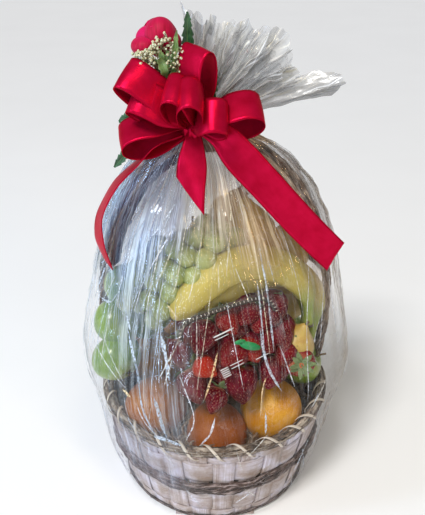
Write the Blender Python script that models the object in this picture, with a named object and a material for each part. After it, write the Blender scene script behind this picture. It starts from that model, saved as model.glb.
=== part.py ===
"""Fruit gift basket: a woven chip basket with a vine handle, wrapped fruit, a bow and a rose.

Metres, +Z up. The origin is the centre of the basket's flat base, and the front faces -Y.
"""

import math
import random

import bmesh
import bpy
from mathutils import Matrix, Vector

TAU = 2 * math.pi
GAP = 0.0004

# Basket: a round tapered wall of woven chips
BASE_RADIUS = 0.123
WALL_TOP_RADIUS = 0.1477
WALL_TOP = 0.1288
WALL_THICK = 0.0035
FLOOR_THICK = 0.006
STAKES_OUTSIDE = 14
STAKE_SHARE = 0.43
STAKE_PHASE = math.radians(-8.3)
STAKE_PROUD = 0.0014
CHIP_BULGE = 0.0020
LOW_ROW = (0.0, 0.0170)
LOWER_CHIP = (0.0170, 0.0590)
BAND_ROW = (0.0590, 0.0800)
UPPER_CHIP = (0.0800, 0.1180)
TOP_ROW = (0.1180, WALL_TOP)
CHAMFER = 0.0012

# Twig band round the wall and twig rim with its lashings
BAND_DEPTH = 0.0078
BAND_SEGMENTS = 42
RIM_RADIUS = 0.1455
RIM_HEIGHT = 0.1365
TWIG_RADIUS = 0.0062
LASHING_RADIUS = 0.0072
LASHINGS = 26

# Handle: two vines twisted into one arch, standing inside the wall
HANDLE_HALF_SPAN = 0.1455
HANDLE_SPRING = 0.2585
HANDLE_RISE = 0.2321
HANDLE_AT_RIM = 0.1310
HANDLE_FOOT = 0.050
VINE_RADIUS = 0.0060
VINE_TWISTS = 16
HANDLE_STATIONS = 46

# Wrapped fruit: half widths and depths of the film at named heights
WRAP_POINTS = 40
WRAP_PLEATS = 10
NECK_RADIUS = 0.0125
FAN_CENTRE = Vector((-0.022, -0.012, 0.508))
FAN_FROM = math.radians(11)
FAN_TO = math.radians(96)
FAN_FOLDS = 13
FAN_DEPTH = 0.022
FAN_SHEET = 0.0012

# Bow: crimson ribbon
RIBBON_WIDTH = 0.038
RIBBON_THICK = 0.0012
KNOT = Vector((-0.0235, -0.047, 0.513))
KNOT_RADII = (0.012, 0.0105, 0.013)
TIE_RADII = (0.0215, 0.0245)
TIE_HALF_HEIGHT = 0.0045
TIE_THICK = 0.0016
TIE_CENTRE = Vector((-0.0230, -0.0185, 0.5140))

# Flowers
ROSE_CENTRE = Vector((-0.0610, -0.0165, 0.6055))
ROSE_RADIUS = 0.0235
ROSE_HEIGHT = 0.036
STEM_FOOT = Vector((-0.0340, -0.0290, 0.5030))
PETAL_THICK = 0.0018
SPRIG_CENTRE = Vector((-0.0645, -0.0455, 0.5910))
SPRIG_RADII = (0.0225, 0.0080, 0.0140)
FLORET_RADIUS = 0.0026
FLORETS = 34


def clear_scene():
    for thing in list(bpy.data.objects):
        bpy.data.objects.remove(thing, do_unlink=True)


def material(name, colour, roughness, metallic=0.0):
    made = bpy.data.materials.new(name)
    made.use_nodes = True
    shader = made.node_tree.nodes["Principled BSDF"]
    shader.inputs["Base Color"].default_value = (*colour, 1)
    shader.inputs["Roughness"].default_value = roughness
    shader.inputs["Metallic"].default_value = metallic
    return made


def make_object(name, points, faces, finish=None, smooth=True):
    mesh = bpy.data.meshes.new(name)
    mesh.from_pydata([tuple(p) for p in points], [], faces)
    mesh.update()
    thing = bpy.data.objects.new(name, mesh)
    bpy.context.scene.collection.objects.link(thing)
    if finish:
        mesh.materials.append(finish)
    if smooth:
        mesh.shade_smooth()
        mesh.set_sharp_from_angle(angle=math.radians(40))
    return thing


def ring_faces(rings, count, closed_length=False, flip=False):
    """Quads between rings of count points, joined end to end when closed_length is set."""
    faces = []
    last = rings if closed_length else rings - 1
    for i in range(last):
        for j in range(count):
            a = i * count + j
            b = i * count + (j + 1) % count
            c = ((i + 1) % rings) * count + (j + 1) % count
            d = ((i + 1) % rings) * count + j
            faces.append((d, c, b, a) if flip else (a, b, c, d))
    return faces


def outward(thing):
    """Turns every face of a closed mesh out."""
    work = bmesh.new()
    work.from_mesh(thing.data)
    bmesh.ops.recalc_face_normals(work, faces=work.faces)
    work.to_mesh(thing.data)
    work.free()
    return thing


def tube(name, rings, finish=None):
    """A closed solid through rings of points, with flat ends."""
    count = len(rings[0])
    points = [p for ring in rings for p in ring]
    faces = ring_faces(len(rings), count)
    faces.append(tuple(reversed(range(count))))
    faces.append(tuple(range((len(rings) - 1) * count, len(rings) * count)))
    return outward(make_object(name, points, faces, finish))


def fuse(name, pieces, finish, solver="EXACT"):
    """One solid of all the pieces, by one Boolean union on their collection."""
    body = pieces[0]
    body.name = name
    others = bpy.data.collections.new(name + "_pieces")
    bpy.context.scene.collection.children.link(others)
    for piece in pieces[1:]:
        bpy.context.scene.collection.objects.unlink(piece)
        others.objects.link(piece)
    join = body.modifiers.new("join", "BOOLEAN")
    join.operation = "UNION"
    join.operand_type = "COLLECTION"
    join.collection = others
    join.solver = solver
    apply_modifiers(body)
    for piece in list(others.objects):
        bpy.data.objects.remove(piece, do_unlink=True)
    bpy.data.collections.remove(others)
    keep_outer_shell(body)
    body.data.materials.clear()
    body.data.materials.append(finish)
    return body


def islands(work):
    """The faces of a mesh, grouped by what touches."""
    left = set(work.faces)
    groups = []
    while left:
        first = left.pop()
        group = [first]
        queue = [first]
        while queue:
            for edge in queue.pop().edges:
                for face in edge.link_faces:
                    if face in left:
                        left.remove(face)
                        group.append(face)
                        queue.append(face)
        groups.append(group)
    return groups


def keep_outer_shell(thing):
    """Fills the hollows that a union sealed and drops loose scraps, so that one shell is left."""
    work = bmesh.new()
    work.from_mesh(thing.data)
    groups = sorted(islands(work), key=lambda group: sum(face.calc_area() for face in group))
    spare = [face for group in groups[:-1] for face in group]
    bmesh.ops.delete(work, geom=spare, context="FACES")
    bmesh.ops.triangulate(work, faces=work.faces)
    work.to_mesh(thing.data)
    work.free()


def apply_modifiers(thing):
    seen = thing.evaluated_get(bpy.context.evaluated_depsgraph_get())
    mesh = bpy.data.meshes.new_from_object(seen)
    thing.modifiers.clear()
    thing.data = mesh
    mesh.name = thing.name


def cut(thing, cutter):
    """Takes the cutter away from the thing and removes the cutter."""
    step = thing.modifiers.new("cut", "BOOLEAN")
    step.operation = "DIFFERENCE"
    step.object = cutter
    step.solver = "EXACT"
    apply_modifiers(thing)
    bpy.data.objects.remove(cutter, do_unlink=True)


def wall_radius(z):
    return BASE_RADIUS + (WALL_TOP_RADIUS - BASE_RADIUS) * z / WALL_TOP


def blend(a, b, share):
    return a + (b - a) * share


def smooth_step(low, high, value):
    t = min(1.0, max(0.0, (value - low) / (high - low)))
    return t * t * (3 - 2 * t)


def read_curve(rows, value):
    """Reads a table of rows that starts with a rising key, with smooth slopes between rows."""
    last = len(rows) - 1
    i = 0
    while i < last - 1 and rows[i + 1][0] < value:
        i += 1
    low, high = rows[i], rows[i + 1]
    width = high[0] - low[0]
    t = min(1.0, max(0.0, (value - low[0]) / width))
    result = []
    for k in range(1, len(low)):
        before = rows[i - 1] if i else low
        after = rows[i + 2] if i + 2 <= last else high
        slope_low = (high[k] - before[k]) / (high[0] - before[0]) * width
        slope_high = (after[k] - low[k]) / (after[0] - low[0]) * width
        t2, t3 = t * t, t * t * t
        result.append(
            (2 * t3 - 3 * t2 + 1) * low[k]
            + (t3 - 2 * t2 + t) * slope_low
            + (3 * t2 - 2 * t3) * high[k]
            + (t3 - t2) * slope_high
        )
    return result


def spline_points(stops, count):
    """Points along a smooth curve through the stops, each a tuple of numbers."""
    rows = [(i, *stop) for i, stop in enumerate(stops)]
    return [read_curve(rows, (len(stops) - 1) * k / (count - 1)) for k in range(count)]


# Basket


def weave_columns():
    """Angles of one turn of the weave, each with its height over the panel and over the stake."""
    edge = STAKE_SHARE / 2
    marks = [
        (-edge, 0.0, 0.0),
        (-edge + 0.02, 0.0, 1.0),
        (edge - 0.02, 0.0, 1.0),
        (edge, 0.0, 0.0),
        (edge + 0.16, 1.0, 0.0),
        (1 - edge - 0.16, 1.0, 0.0),
    ]
    columns = []
    for turn in range(STAKES_OUTSIDE):
        for place, chip, stake in marks:
            angle = STAKE_PHASE + (turn + place) * TAU / STAKES_OUTSIDE
            columns.append((angle, chip, stake))
    return columns


def weave_levels():
    """Heights up the wall, each with its kind of row and how far that row stands out there."""
    levels = []
    for (low, high), kind in (
        (LOW_ROW, "over"),
        (LOWER_CHIP, "behind"),
        (UPPER_CHIP, "behind"),
        (TOP_ROW, "over"),
    ):
        levels.append((low + CHAMFER * 0.4, kind))
        levels.append((high - CHAMFER * 0.4, kind))
    return levels


def weave_offset(kind, chip, stake):
    if kind == "behind":
        return CHIP_BULGE * chip + STAKE_PROUD * stake
    return CHIP_BULGE * 0.8 * stake + 0.0003 * chip


def basket_body(finish):
    columns = weave_columns()
    rings = []
    inner_floor = wall_radius(FLOOR_THICK) - WALL_THICK
    inner_top = WALL_TOP_RADIUS - WALL_THICK
    outline = [(0.0, "flat")] + weave_levels()[1:-1] + [(WALL_TOP, "flat")]
    for z, kind in outline:
        ring = []
        for angle, chip, stake in columns:
            radius = wall_radius(z)
            if kind != "flat":
                radius += weave_offset(kind, chip, stake)
            ring.append((radius * math.cos(angle), radius * math.sin(angle), z))
        rings.append(ring)
    for z, radius in ((WALL_TOP, inner_top), (FLOOR_THICK, inner_floor)):
        rings.append([(radius * math.cos(a), radius * math.sin(a), z) for a, _, _ in columns])
    body = tube("basket_body", rings, finish)
    body.data.name = "basket_body"
    return body


def basket_band(finish):
    """Two twigs wound side by side round the wall, with their knuckles as relief."""
    low, high = BAND_ROW
    inset = 0.0012
    seat = CHIP_BULGE + 2 * GAP
    rings = []
    for i in range(BAND_SEGMENTS):
        angle = TAU * i / BAND_SEGMENTS
        wave = math.sin(angle * STAKES_OUTSIDE)
        lump = 0.0007 * math.sin(angle * 23 + 1)
        middle = (low + high) / 2 + 0.0010 * math.sin(angle * 9)
        section = (
            (seat, low + inset),
            (BAND_DEPTH * 0.70 + lump, low + inset + 0.0004),
            (BAND_DEPTH * 0.90 + 0.0012 * wave, low + 0.0060),
            (BAND_DEPTH * 0.60, middle),
            (BAND_DEPTH * 0.90 - 0.0012 * wave, high - 0.0060),
            (BAND_DEPTH * 0.70 - lump, high - inset - 0.0004),
            (seat, high - inset),
        )
        ring = []
        for depth, z in section:
            radius = wall_radius(z) + depth
            ring.append((radius * math.cos(angle), radius * math.sin(angle), z))
        rings.append(ring)
    count = len(rings[0])
    points = [p for ring in rings for p in ring]
    faces = ring_faces(BAND_SEGMENTS, count, closed_length=True)
    return outward(make_object("basket_band", points, faces, finish))


def basket_rim(finish):
    """A bundle of twigs round the top, with a raised lashing at even steps."""
    draw = random.Random(11)
    sides = 7
    steps = LASHINGS * 3
    rings = []
    for i in range(steps):
        angle = TAU * i / steps
        tied = i % 3 == 1
        radius = LASHING_RADIUS if tied else TWIG_RADIUS
        swell = 0.0 if tied else draw.uniform(-0.0005, 0.0005)
        ring = []
        for k in range(sides):
            turn = TAU * (k + 0.5) / sides
            bark = 0.0 if tied else draw.uniform(-0.0003, 0.0003)
            out = RIM_RADIUS + (radius + swell + bark) * math.cos(turn)
            up = RIM_HEIGHT + (radius + swell + bark) * math.sin(turn)
            ring.append((out * math.cos(angle), out * math.sin(angle), up))
        rings.append(ring)
    points = [p for ring in rings for p in ring]
    faces = ring_faces(steps, sides, closed_length=True)
    return outward(make_object("basket_rim", points, faces, finish))


# Handle


def leg_x(z):
    """How far out the leg's centre is at a height below the arch."""
    if z >= RIM_HEIGHT:
        share = (HANDLE_SPRING - z) / (HANDLE_SPRING - RIM_HEIGHT)
        return HANDLE_HALF_SPAN - (HANDLE_HALF_SPAN - HANDLE_AT_RIM) * share * share
    slope = (WALL_TOP_RADIUS - BASE_RADIUS) / WALL_TOP
    return HANDLE_AT_RIM - slope * (RIM_HEIGHT - z)


def handle_line():
    """Centre points of the handle from the left foot over the top to the right foot."""
    leg = []
    steps = 40
    for i in range(steps):
        z = blend(HANDLE_FOOT, HANDLE_SPRING, i / steps)
        leg.append(Vector((-leg_x(z), 0, z)))
    arch = []
    for i in range(121):
        turn = math.pi * i / 120
        x = -HANDLE_HALF_SPAN * math.cos(turn)
        arch.append(Vector((x, 0, HANDLE_SPRING + HANDLE_RISE * math.sin(turn))))
    other = [Vector((-p.x, 0, p.z)) for p in reversed(leg)]
    return even_points(leg + arch + other, HANDLE_STATIONS)


def even_points(line, count):
    """The line again, as count points at equal steps."""
    lengths = [0.0]
    for a, b in zip(line, line[1:]):
        lengths.append(lengths[-1] + (b - a).length)
    result = []
    j = 0
    for i in range(count):
        want = lengths[-1] * i / (count - 1)
        while j < len(line) - 2 and lengths[j + 1] < want:
            j += 1
        share = (want - lengths[j]) / (lengths[j + 1] - lengths[j])
        result.append(line[j].lerp(line[j + 1], min(1.0, max(0.0, share))))
    return result


def line_frames(line):
    """For each point of a line in the XZ plane, the direction that points out of the arch."""
    frames = []
    for i, point in enumerate(line):
        ahead = line[min(i + 1, len(line) - 1)]
        behind = line[max(i - 1, 0)]
        along = (ahead - behind).normalized()
        frames.append((point, Vector((-along.z, 0, along.x))))
    return frames


def handle(finish):
    draw = random.Random(5)
    sides = 10
    rings = []
    for i, (point, out) in enumerate(line_frames(handle_line())):
        twist = TAU * VINE_TWISTS * i / (HANDLE_STATIONS - 1) / 2
        ring = []
        for k in range(sides):
            turn = TAU * k / sides
            lobes = 1 + 0.15 * math.cos(2 * (turn - twist))
            radius = VINE_RADIUS * lobes * (1 + draw.uniform(-0.03, 0.03))
            side = Vector((0, math.sin(turn) * radius, 0))
            ring.append(point + out * (math.cos(turn) * radius) + side)
        rings.append(ring)
    return tube("handle", rings, finish)


def handle_slot():
    """The room that the handle takes: closed over the top, open to the outside down the legs."""
    half = VINE_RADIUS * 1.22 + GAP
    rings = []
    frames = line_frames(handle_line())
    first, last = frames[0], frames[-1]
    down = Vector((0, 0, -0.003))
    frames = [(first[0] + down, first[1])] + frames + [(last[0] + down, last[1])]
    for point, out in frames:
        reach = blend(half, 0.045, smooth_step(0.052, 0.085, abs(point.x + 0.012)))
        ring = [point + out * reach + Vector((0, half, 0))]
        for k in range(6):
            turn = math.pi * (0.5 + k / 5)
            bend = math.cos(turn) * half
            ring.append(point + out * bend + Vector((0, math.sin(turn) * half, 0)))
        ring.append(point + out * reach + Vector((0, -half, 0)))
        rings.append(ring)
    return tube("handle_slot", rings)


# Wrapped fruit


def wrap_sections():
    """Height, centre x, centre y, left, right, front, back and squareness of the film."""
    return (
        (0.1460, 0.000, 0.000, 0.156, 0.158, 0.154, 0.154, 2.0),
        (0.1600, 0.000, 0.000, 0.165, 0.170, 0.160, 0.160, 2.0),
        (0.2000, 0.000, 0.000, 0.171, 0.177, 0.160, 0.160, 2.0),
        (0.2500, 0.000, 0.000, 0.160, 0.169, 0.144, 0.146, 2.0),
        (0.3000, 0.000, 0.000, 0.148, 0.159, 0.120, 0.126, 1.95),
        (0.3500, 0.000, 0.000, 0.131, 0.147, 0.094, 0.098, 1.85),
        (0.4000, -0.001, 0.000, 0.124, 0.130, 0.070, 0.070, 1.7),
        (0.4400, -0.002, 0.000, 0.105, 0.108, 0.053, 0.050, 1.55),
        (0.4700, -0.005, -0.002, 0.081, 0.083, 0.042, 0.038, 1.5),
        (0.4900, -0.011, -0.006, 0.052, 0.057, 0.032, 0.028, 1.6),
        (0.5010, -0.018, -0.010, 0.030, 0.034, 0.021, 0.020, 1.8),
        (0.5080, -0.0215, -0.012, 0.0150, 0.0155, 0.0140, 0.0140, 2.0),
        (0.5160, -0.0220, -0.012, NECK_RADIUS, NECK_RADIUS, NECK_RADIUS, NECK_RADIUS, 2.0),
    )


def film_point(angle, section, pleat):
    """A point of the film at an angle round its section, which is a rounded lens."""
    z, centre_x, centre_y, left, right, front, back, square = section
    across, depth = math.cos(angle), math.sin(angle)
    x = math.copysign(abs(across) ** (2 / square), across) * (right if across > 0 else left)
    y = math.copysign(abs(depth) ** (2 / square), depth) * (back if depth > 0 else front)
    size = 1 + pleat * math.cos(angle * WRAP_PLEATS)
    return (centre_x + x * size, centre_y + y * size, z)


def fruit_plug():
    """Heights and radii of the contents inside the basket, up through the rim."""
    through = RIM_RADIUS - LASHING_RADIUS - GAP
    inside = wall_radius(FLOOR_THICK) - WALL_THICK - GAP
    shoulder = WALL_TOP_RADIUS - WALL_THICK - 0.0025
    return ((FLOOR_THICK + GAP, inside), (0.120, shoulder), (0.1275, through), (0.1460, through))


def wrap_body():
    rings = []
    for z, radius in fruit_plug():
        turns = [TAU * k / WRAP_POINTS for k in range(WRAP_POINTS)]
        rings.append([(radius * math.cos(t), radius * math.sin(t), z) for t in turns])
    rows = wrap_sections()
    heights = [0.1460, 0.155, 0.175, 0.200, 0.235, 0.275, 0.320, 0.360]
    heights += [0.400, 0.435, 0.460, 0.478, 0.490, 0.501, 0.508, 0.516]
    for z in heights:
        section = (z, *read_curve(rows, z))
        pleat = 0.003 + 0.045 * smooth_step(0.30, 0.50, z)
        angles = [TAU * k / WRAP_POINTS for k in range(WRAP_POINTS)]
        rings.append([film_point(a, section, pleat) for a in angles])
    return tube("wrap", rings)


def fan_reach(turn):
    """How far the gathered end of the film reaches at an angle above level."""
    degrees = math.degrees(turn)
    stops = (
        (11, 0.140),
        (16, 0.166),
        (22, 0.135),
        (32, 0.126),
        (42, 0.136),
        (60, 0.124),
        (78, 0.114),
        (88, 0.116),
        (96, 0.128),
    )
    return read_curve(stops, degrees)[0]


def fan():
    """The film's gathered end: one sheet in a zigzag of folds that opens away from the neck."""
    shares = (0.22, 0.40, 0.60, 0.80, 1.0)
    steps = FAN_FOLDS * 2
    points = []
    for j in range(steps + 1):
        turn = blend(FAN_FROM, FAN_TO, j / steps)
        side = 1 if j % 2 else -1
        ray = Vector((math.cos(turn), 0, math.sin(turn)))
        for share in shares:
            length = fan_reach(turn) * share
            depth = FAN_DEPTH * share ** 0.9 * side * (0.8 + 0.2 * math.sin(j * 1.7))
            depth *= 1 - 0.7 * smooth_step(math.radians(76), FAN_TO, turn)
            points.append(FAN_CENTRE + ray * length + Vector((0, depth, 0)))
    rows = len(shares)
    faces = []
    for j in range(steps):
        for i in range(rows - 1):
            a = j * rows + i
            faces.append((a, a + 1, a + rows + 1, a + rows))
    sheet = make_object("fan", points, faces)
    thick = sheet.modifiers.new("thick", "SOLIDIFY")
    thick.thickness = FAN_SHEET
    thick.offset = 0
    apply_modifiers(sheet)
    return outward(sheet)


def fan_root():
    """The solid start of the fan, where its folds are pressed together."""
    rings = []
    sides = 14
    middle = (FAN_FROM + FAN_TO) / 2 + 0.15
    lean = Matrix.Rotation(math.pi / 2 - middle, 3, "Y")
    for along, half_width, half_depth in (
        (-0.003, 0.007, 0.0090),
        (0.009, 0.011, 0.0110),
        (0.020, 0.012, 0.0090),
        (0.036, 0.028, 0.0070),
    ):
        ring = []
        for k in range(sides):
            turn = TAU * k / sides
            flat = Vector((half_width * math.cos(turn), half_depth * math.sin(turn), along))
            ring.append(FAN_CENTRE + lean @ flat)
        rings.append(ring)
    return tube("fan_root", rings)


def wrap(finish):
    body = fuse("wrap", [wrap_body(), fan_root(), fan()], finish, "MANIFOLD")
    cut(body, handle_slot())
    keep_outer_shell(body)
    body.data.materials.clear()
    body.data.materials.append(finish)
    return body


# Bow


def strip(name, stations):
    """A ribbon through stations of its two edges and a half thickness vector."""
    rings = []
    for low, high, thick in stations:
        rings.append([low - thick, high - thick, high + thick, low + thick])
    return tube(name, rings)


def loop_stops():
    """Name, tip, direction of the ribbon's width at the tip, and half opening of each loop."""
    return (
        ("high_left", (-0.0948, -0.060, 0.5770), (-0.45, -0.60, -0.64), 0.013),
        ("left", (-0.0851, -0.064, 0.5545), (-0.42, -0.50, -0.76), 0.014),
        ("low_left", (-0.1023, -0.058, 0.5034), (-0.05, -0.90, -0.42), 0.013),
        ("front_left", (-0.0454, -0.083, 0.5680), (-0.10, -0.62, -0.78), 0.011),
        ("front_middle", (-0.0270, -0.090, 0.5660), (0.00, -0.62, -0.78), 0.011),
        ("tall", (-0.0178, -0.0545, 0.6015), (0.66, -0.74, -0.10), 0.0095),
        ("right", (0.0498, -0.050, 0.5349), (0.02, -0.80, -0.60), 0.016),
        ("front_right", (0.0068, -0.080, 0.5378), (0.02, -0.62, -0.78), 0.012),
    )


def ribbon_loop(name, tip, width_way, opening):
    """A loop that leaves the knot, turns round at the tip and comes back."""
    tip = Vector(tip)
    reach = (tip - KNOT).length
    along = (tip - KNOT).normalized()
    wide = Vector(width_way)
    wide = (wide - along * wide.dot(along)).normalized()
    side = along.cross(wide)
    steps = 13
    stations = []
    for i in range(steps + 1):
        t = i / steps
        swing = math.sin(TAU * t)
        place = along * (reach * math.sin(math.pi * t)) + side * (opening * swing)
        place += side * (0.0030 * math.cos(math.pi * t))
        slope = along * (reach * math.pi * math.cos(math.pi * t))
        slope += side * (opening * TAU * math.cos(TAU * t))
        normal = slope.cross(wide).normalized()
        spread = blend(0.22, 1.0, smooth_step(0.0, 0.62, math.sin(math.pi * t)))
        half = wide * (RIBBON_WIDTH / 2 * spread)
        centre = KNOT + place
        stations.append((centre - half, centre + half, normal * (RIBBON_THICK / 2)))
    return strip(name, stations)


def tail_stops():
    """Places of each hanging end, with the direction of the ribbon's width at each place."""
    right = (
        (-0.016, -0.050, 0.515, 0.3, -0.6, -0.7, 0.35),
        (0.0072, -0.060, 0.509, 0.62, 0.05, 0.75, 0.8),
        (0.0267, -0.066, 0.488, 0.68, 0.10, 0.72, 1.0),
        (0.0511, -0.070, 0.462, 0.70, 0.10, 0.70, 1.0),
        (0.0953, -0.072, 0.413, 0.70, 0.08, 0.70, 1.0),
        (0.1262, -0.070, 0.380, 0.70, 0.05, 0.70, 1.0),
        (0.1450, -0.066, 0.360, 0.70, 0.05, 0.70, 1.0),
    )
    left = (
        (-0.036, -0.050, 0.506, 0.2, -0.9, 0.3, 0.35),
        (-0.062, -0.058, 0.497, 0.1, -0.9, 0.4, 0.7),
        (-0.0833, -0.060, 0.480, 0.0, -0.93, 0.36, 0.9),
        (-0.1113, -0.060, 0.452, 0.05, -0.90, 0.44, 1.0),
        (-0.1300, -0.058, 0.416, 0.3, -0.88, 0.36, 1.0),
        (-0.1345, -0.054, 0.380, 0.4, -0.88, 0.20, 1.0),
        (-0.1290, -0.048, 0.348, 0.4, -0.88, 0.10, 1.0),
    )
    middle = (
        (-0.0235, -0.052, 0.512, 1.0, 0.0, 0.0, 0.35),
        (-0.0239, -0.061, 0.500, 1.0, 0.05, 0.0, 0.6),
        (-0.0251, -0.070, 0.480, 0.98, -0.1, 0.0, 0.85),
        (-0.0265, -0.079, 0.457, 0.90, -0.4, 0.0, 0.90),
        (-0.0260, -0.086, 0.430, 0.80, -0.6, 0.0, 0.90),
    )
    return (
        ("tail_right", right, 0.10),
        ("tail_left", left, 0.0),
        ("tail_middle", middle, 0.36),
    )


def ribbon_tail(name, stops, slant):
    """A hanging end through its stops, with one edge shorter by the slant's share."""
    rows = spline_points(turned_alike(stops), 20)
    centres = [Vector(row[:3]) for row in rows]
    edges = []
    normals = []
    for i, row in enumerate(rows):
        along = (centres[min(i + 1, len(rows) - 1)] - centres[max(i - 1, 0)]).normalized()
        wide = Vector(row[3:6])
        wide = (wide - along * wide.dot(along)).normalized()
        half = wide * (RIBBON_WIDTH / 2 * row[6])
        edges.append((centres[i] - half, centres[i] + half))
        normals.append(along.cross(wide).normalized())
    stations = []
    steps = 2 * len(stops)
    for i in range(steps + 1):
        full = (len(rows) - 1) * i / steps
        low = between([pair[0] for pair in edges], full * (1 - slant))
        high = between([pair[1] for pair in edges], full)
        normal = between(normals, full * (1 - slant / 2)).normalized()
        stations.append((low, high, normal * (RIBBON_THICK / 2)))
    return strip(name, stations)


def between(points, place):
    """The point at a fractional place in a list of points."""
    low = min(int(place), len(points) - 2)
    return points[low].lerp(points[low + 1], place - low)


def turned_alike(stops):
    """The stops with each width direction on the same side as the one before it."""
    result = [stops[0]]
    for stop in stops[1:]:
        before = Vector(result[-1][3:6])
        wide = Vector(stop[3:6])
        if before.dot(wide) < 0:
            wide = -wide
        result.append((*stop[:3], *wide, stop[6]))
    return result


def knot():
    rings = []
    levels = 7
    for i in range(1, levels):
        tilt = math.pi * i / levels
        ring = []
        for k in range(8):
            turn = TAU * k / 8
            crease = 1 + 0.10 * math.cos(turn * 4)
            ring.append(
                KNOT
                + Vector(
                    (
                        KNOT_RADII[0] * crease * math.sin(tilt) * math.cos(turn),
                        KNOT_RADII[1] * crease * math.sin(tilt) * math.sin(turn),
                        -KNOT_RADII[2] * math.cos(tilt),
                    )
                )
            )
        rings.append(ring)
    return tube("knot", rings)


def tie():
    """The ring of ribbon that ties the bow to the neck of the film."""
    steps = 20
    points = []
    for k in range(steps):
        turn = TAU * k / steps
        out = Vector((math.cos(turn), math.sin(turn), 0))
        place = TIE_CENTRE + Vector((out.x * TIE_RADII[0], out.y * TIE_RADII[1], 0))
        for outward_by, up in ((0, -1), (TIE_THICK, -1), (TIE_THICK, 1), (0, 1)):
            points.append(place + out * outward_by + Vector((0, 0, up * TIE_HALF_HEIGHT)))
    faces = ring_faces(steps, 4, closed_length=True)
    return outward(make_object("tie", points, faces))


def bow(finish):
    pieces = [knot(), tie()]
    for name, tip, width_way, opening in loop_stops():
        pieces.append(ribbon_loop(name, tip, width_way, opening))
    for name, stops, slant in tail_stops():
        pieces.append(ribbon_tail(name, stops, slant))
    return fuse("bow", pieces, finish, "MANIFOLD")


# Rose, baby's breath and leaves


def petal(name, turn, radius, height, opening, curl, spread):
    """A cupped petal as a thin closed solid, thicker at its foot."""
    across, up = 4, 4
    rows = []
    for skin in (1, -1):
        for j in range(up + 1):
            v = j / up
            width = spread * math.sin(math.pi * min(1.0, 0.22 + 0.62 * v)) ** 0.7
            for i in range(across + 1):
                u = 2 * i / across - 1
                round_top = 1 - 0.16 * u * u * v
                out = radius * (0.35 + opening * math.sin(v * math.pi / 2)) + curl * v ** 4
                out += skin * PETAL_THICK / 2
                angle = turn + width * u
                rows.append(
                    (
                        out * math.cos(angle),
                        out * math.sin(angle),
                        height * (v * round_top - 0.5),
                    )
                )
    points = [ROSE_CENTRE + rose_tilt() @ Vector(row) for row in rows]
    count = (across + 1) * (up + 1)
    faces = []
    for j in range(up):
        for i in range(across):
            a = j * (across + 1) + i
            b, c, d = a + 1, a + across + 2, a + across + 1
            faces.append((a, b, c, d))
            faces.append((a + count, d + count, c + count, b + count))
    rim = [i for i in range(across + 1)]
    rim += [j * (across + 1) + across for j in range(1, up + 1)]
    rim += [up * (across + 1) + i for i in range(across - 1, -1, -1)]
    rim += [j * (across + 1) for j in range(up - 1, 0, -1)]
    for a, b in zip(rim, rim[1:] + rim[:1]):
        faces.append((b, a, a + count, b + count))
    return outward(make_object(name, points, faces))


def rose_tilt():
    return Matrix.Rotation(math.radians(14), 3, "X") @ Matrix.Rotation(math.radians(-12), 3, "Y")


def rose_core():
    rings = []
    for v, share in ((0, 0.28), (0.12, 0.55), (0.35, 0.74), (0.65, 0.72), (0.88, 0.52), (1, 0.26)):
        ring = []
        for k in range(12):
            turn = TAU * k / 12
            radius = ROSE_RADIUS * share * (1 + 0.06 * math.cos(3 * turn + 4 * v))
            level = ROSE_HEIGHT * (v - 0.5)
            place = Vector((radius * math.cos(turn), radius * math.sin(turn), level))
            ring.append(ROSE_CENTRE + rose_tilt() @ place)
        rings.append(ring)
    return tube("rose_core", rings)


def rose(finish):
    pieces = [rose_core()]
    for i in range(2):
        turn = TAU * (i / 2) + 0.4
        size = ROSE_RADIUS * (0.76 - 0.035 * i)
        height = ROSE_HEIGHT * (1.10 + 0.03 * i)
        pieces.append(petal(f"inner_{i}", turn, size, height, 0.62, 0.0005, 1.05))
    for i in range(4):
        turn = TAU * (i / 4) - 1.5
        height = ROSE_HEIGHT * (1.04 - 0.03 * i)
        size = ROSE_RADIUS * (1 - 0.022 * ((2 * i) % 5))
        pieces.append(petal(f"outer_{i}", turn, size, height, 0.62, 0.0035, 0.95))
    return fuse("rose", pieces, finish, "MANIFOLD")


def stem_line(top, foot, straight, count=9):
    """Points from the foot, straight up at first, then on a curve to the top."""
    bend = foot + Vector((0, 0, straight))
    result = []
    for i in range(count):
        t = i / (count - 1)
        result.append(foot * (1 - t) ** 2 + bend * (2 * t * (1 - t)) + top * t * t)
    return result


def stem(name, line, radius, finish=None, sides=6):
    rings = []
    for i, point in enumerate(line):
        ahead = line[min(i + 1, len(line) - 1)]
        behind = line[max(i - 1, 0)]
        along = (ahead - behind).normalized()
        first = along.orthogonal().normalized()
        second = along.cross(first)
        ring = []
        for k in range(sides):
            turn = TAU * k / sides
            ring.append(point + (first * math.cos(turn) + second * math.sin(turn)) * radius)
        rings.append(ring)
    return tube(name, rings, finish)


def rose_stem(finish):
    under = ROSE_CENTRE + rose_tilt() @ Vector((0, 0, -ROSE_HEIGHT * 0.5 - 0.0015))
    line = stem_line(under, STEM_FOOT, 0.045)
    return stem("rose_stem", line, 0.0018, finish, 8)


def floret(place, radius):
    """A small round flower with few sides."""
    work = bmesh.new()
    bmesh.ops.create_icosphere(work, subdivisions=1, radius=radius)
    bmesh.ops.translate(work, verts=work.verts, vec=place)
    mesh = bpy.data.meshes.new("floret")
    work.to_mesh(mesh)
    work.free()
    thing = bpy.data.objects.new("floret", mesh)
    bpy.context.scene.collection.objects.link(thing)
    return thing


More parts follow.
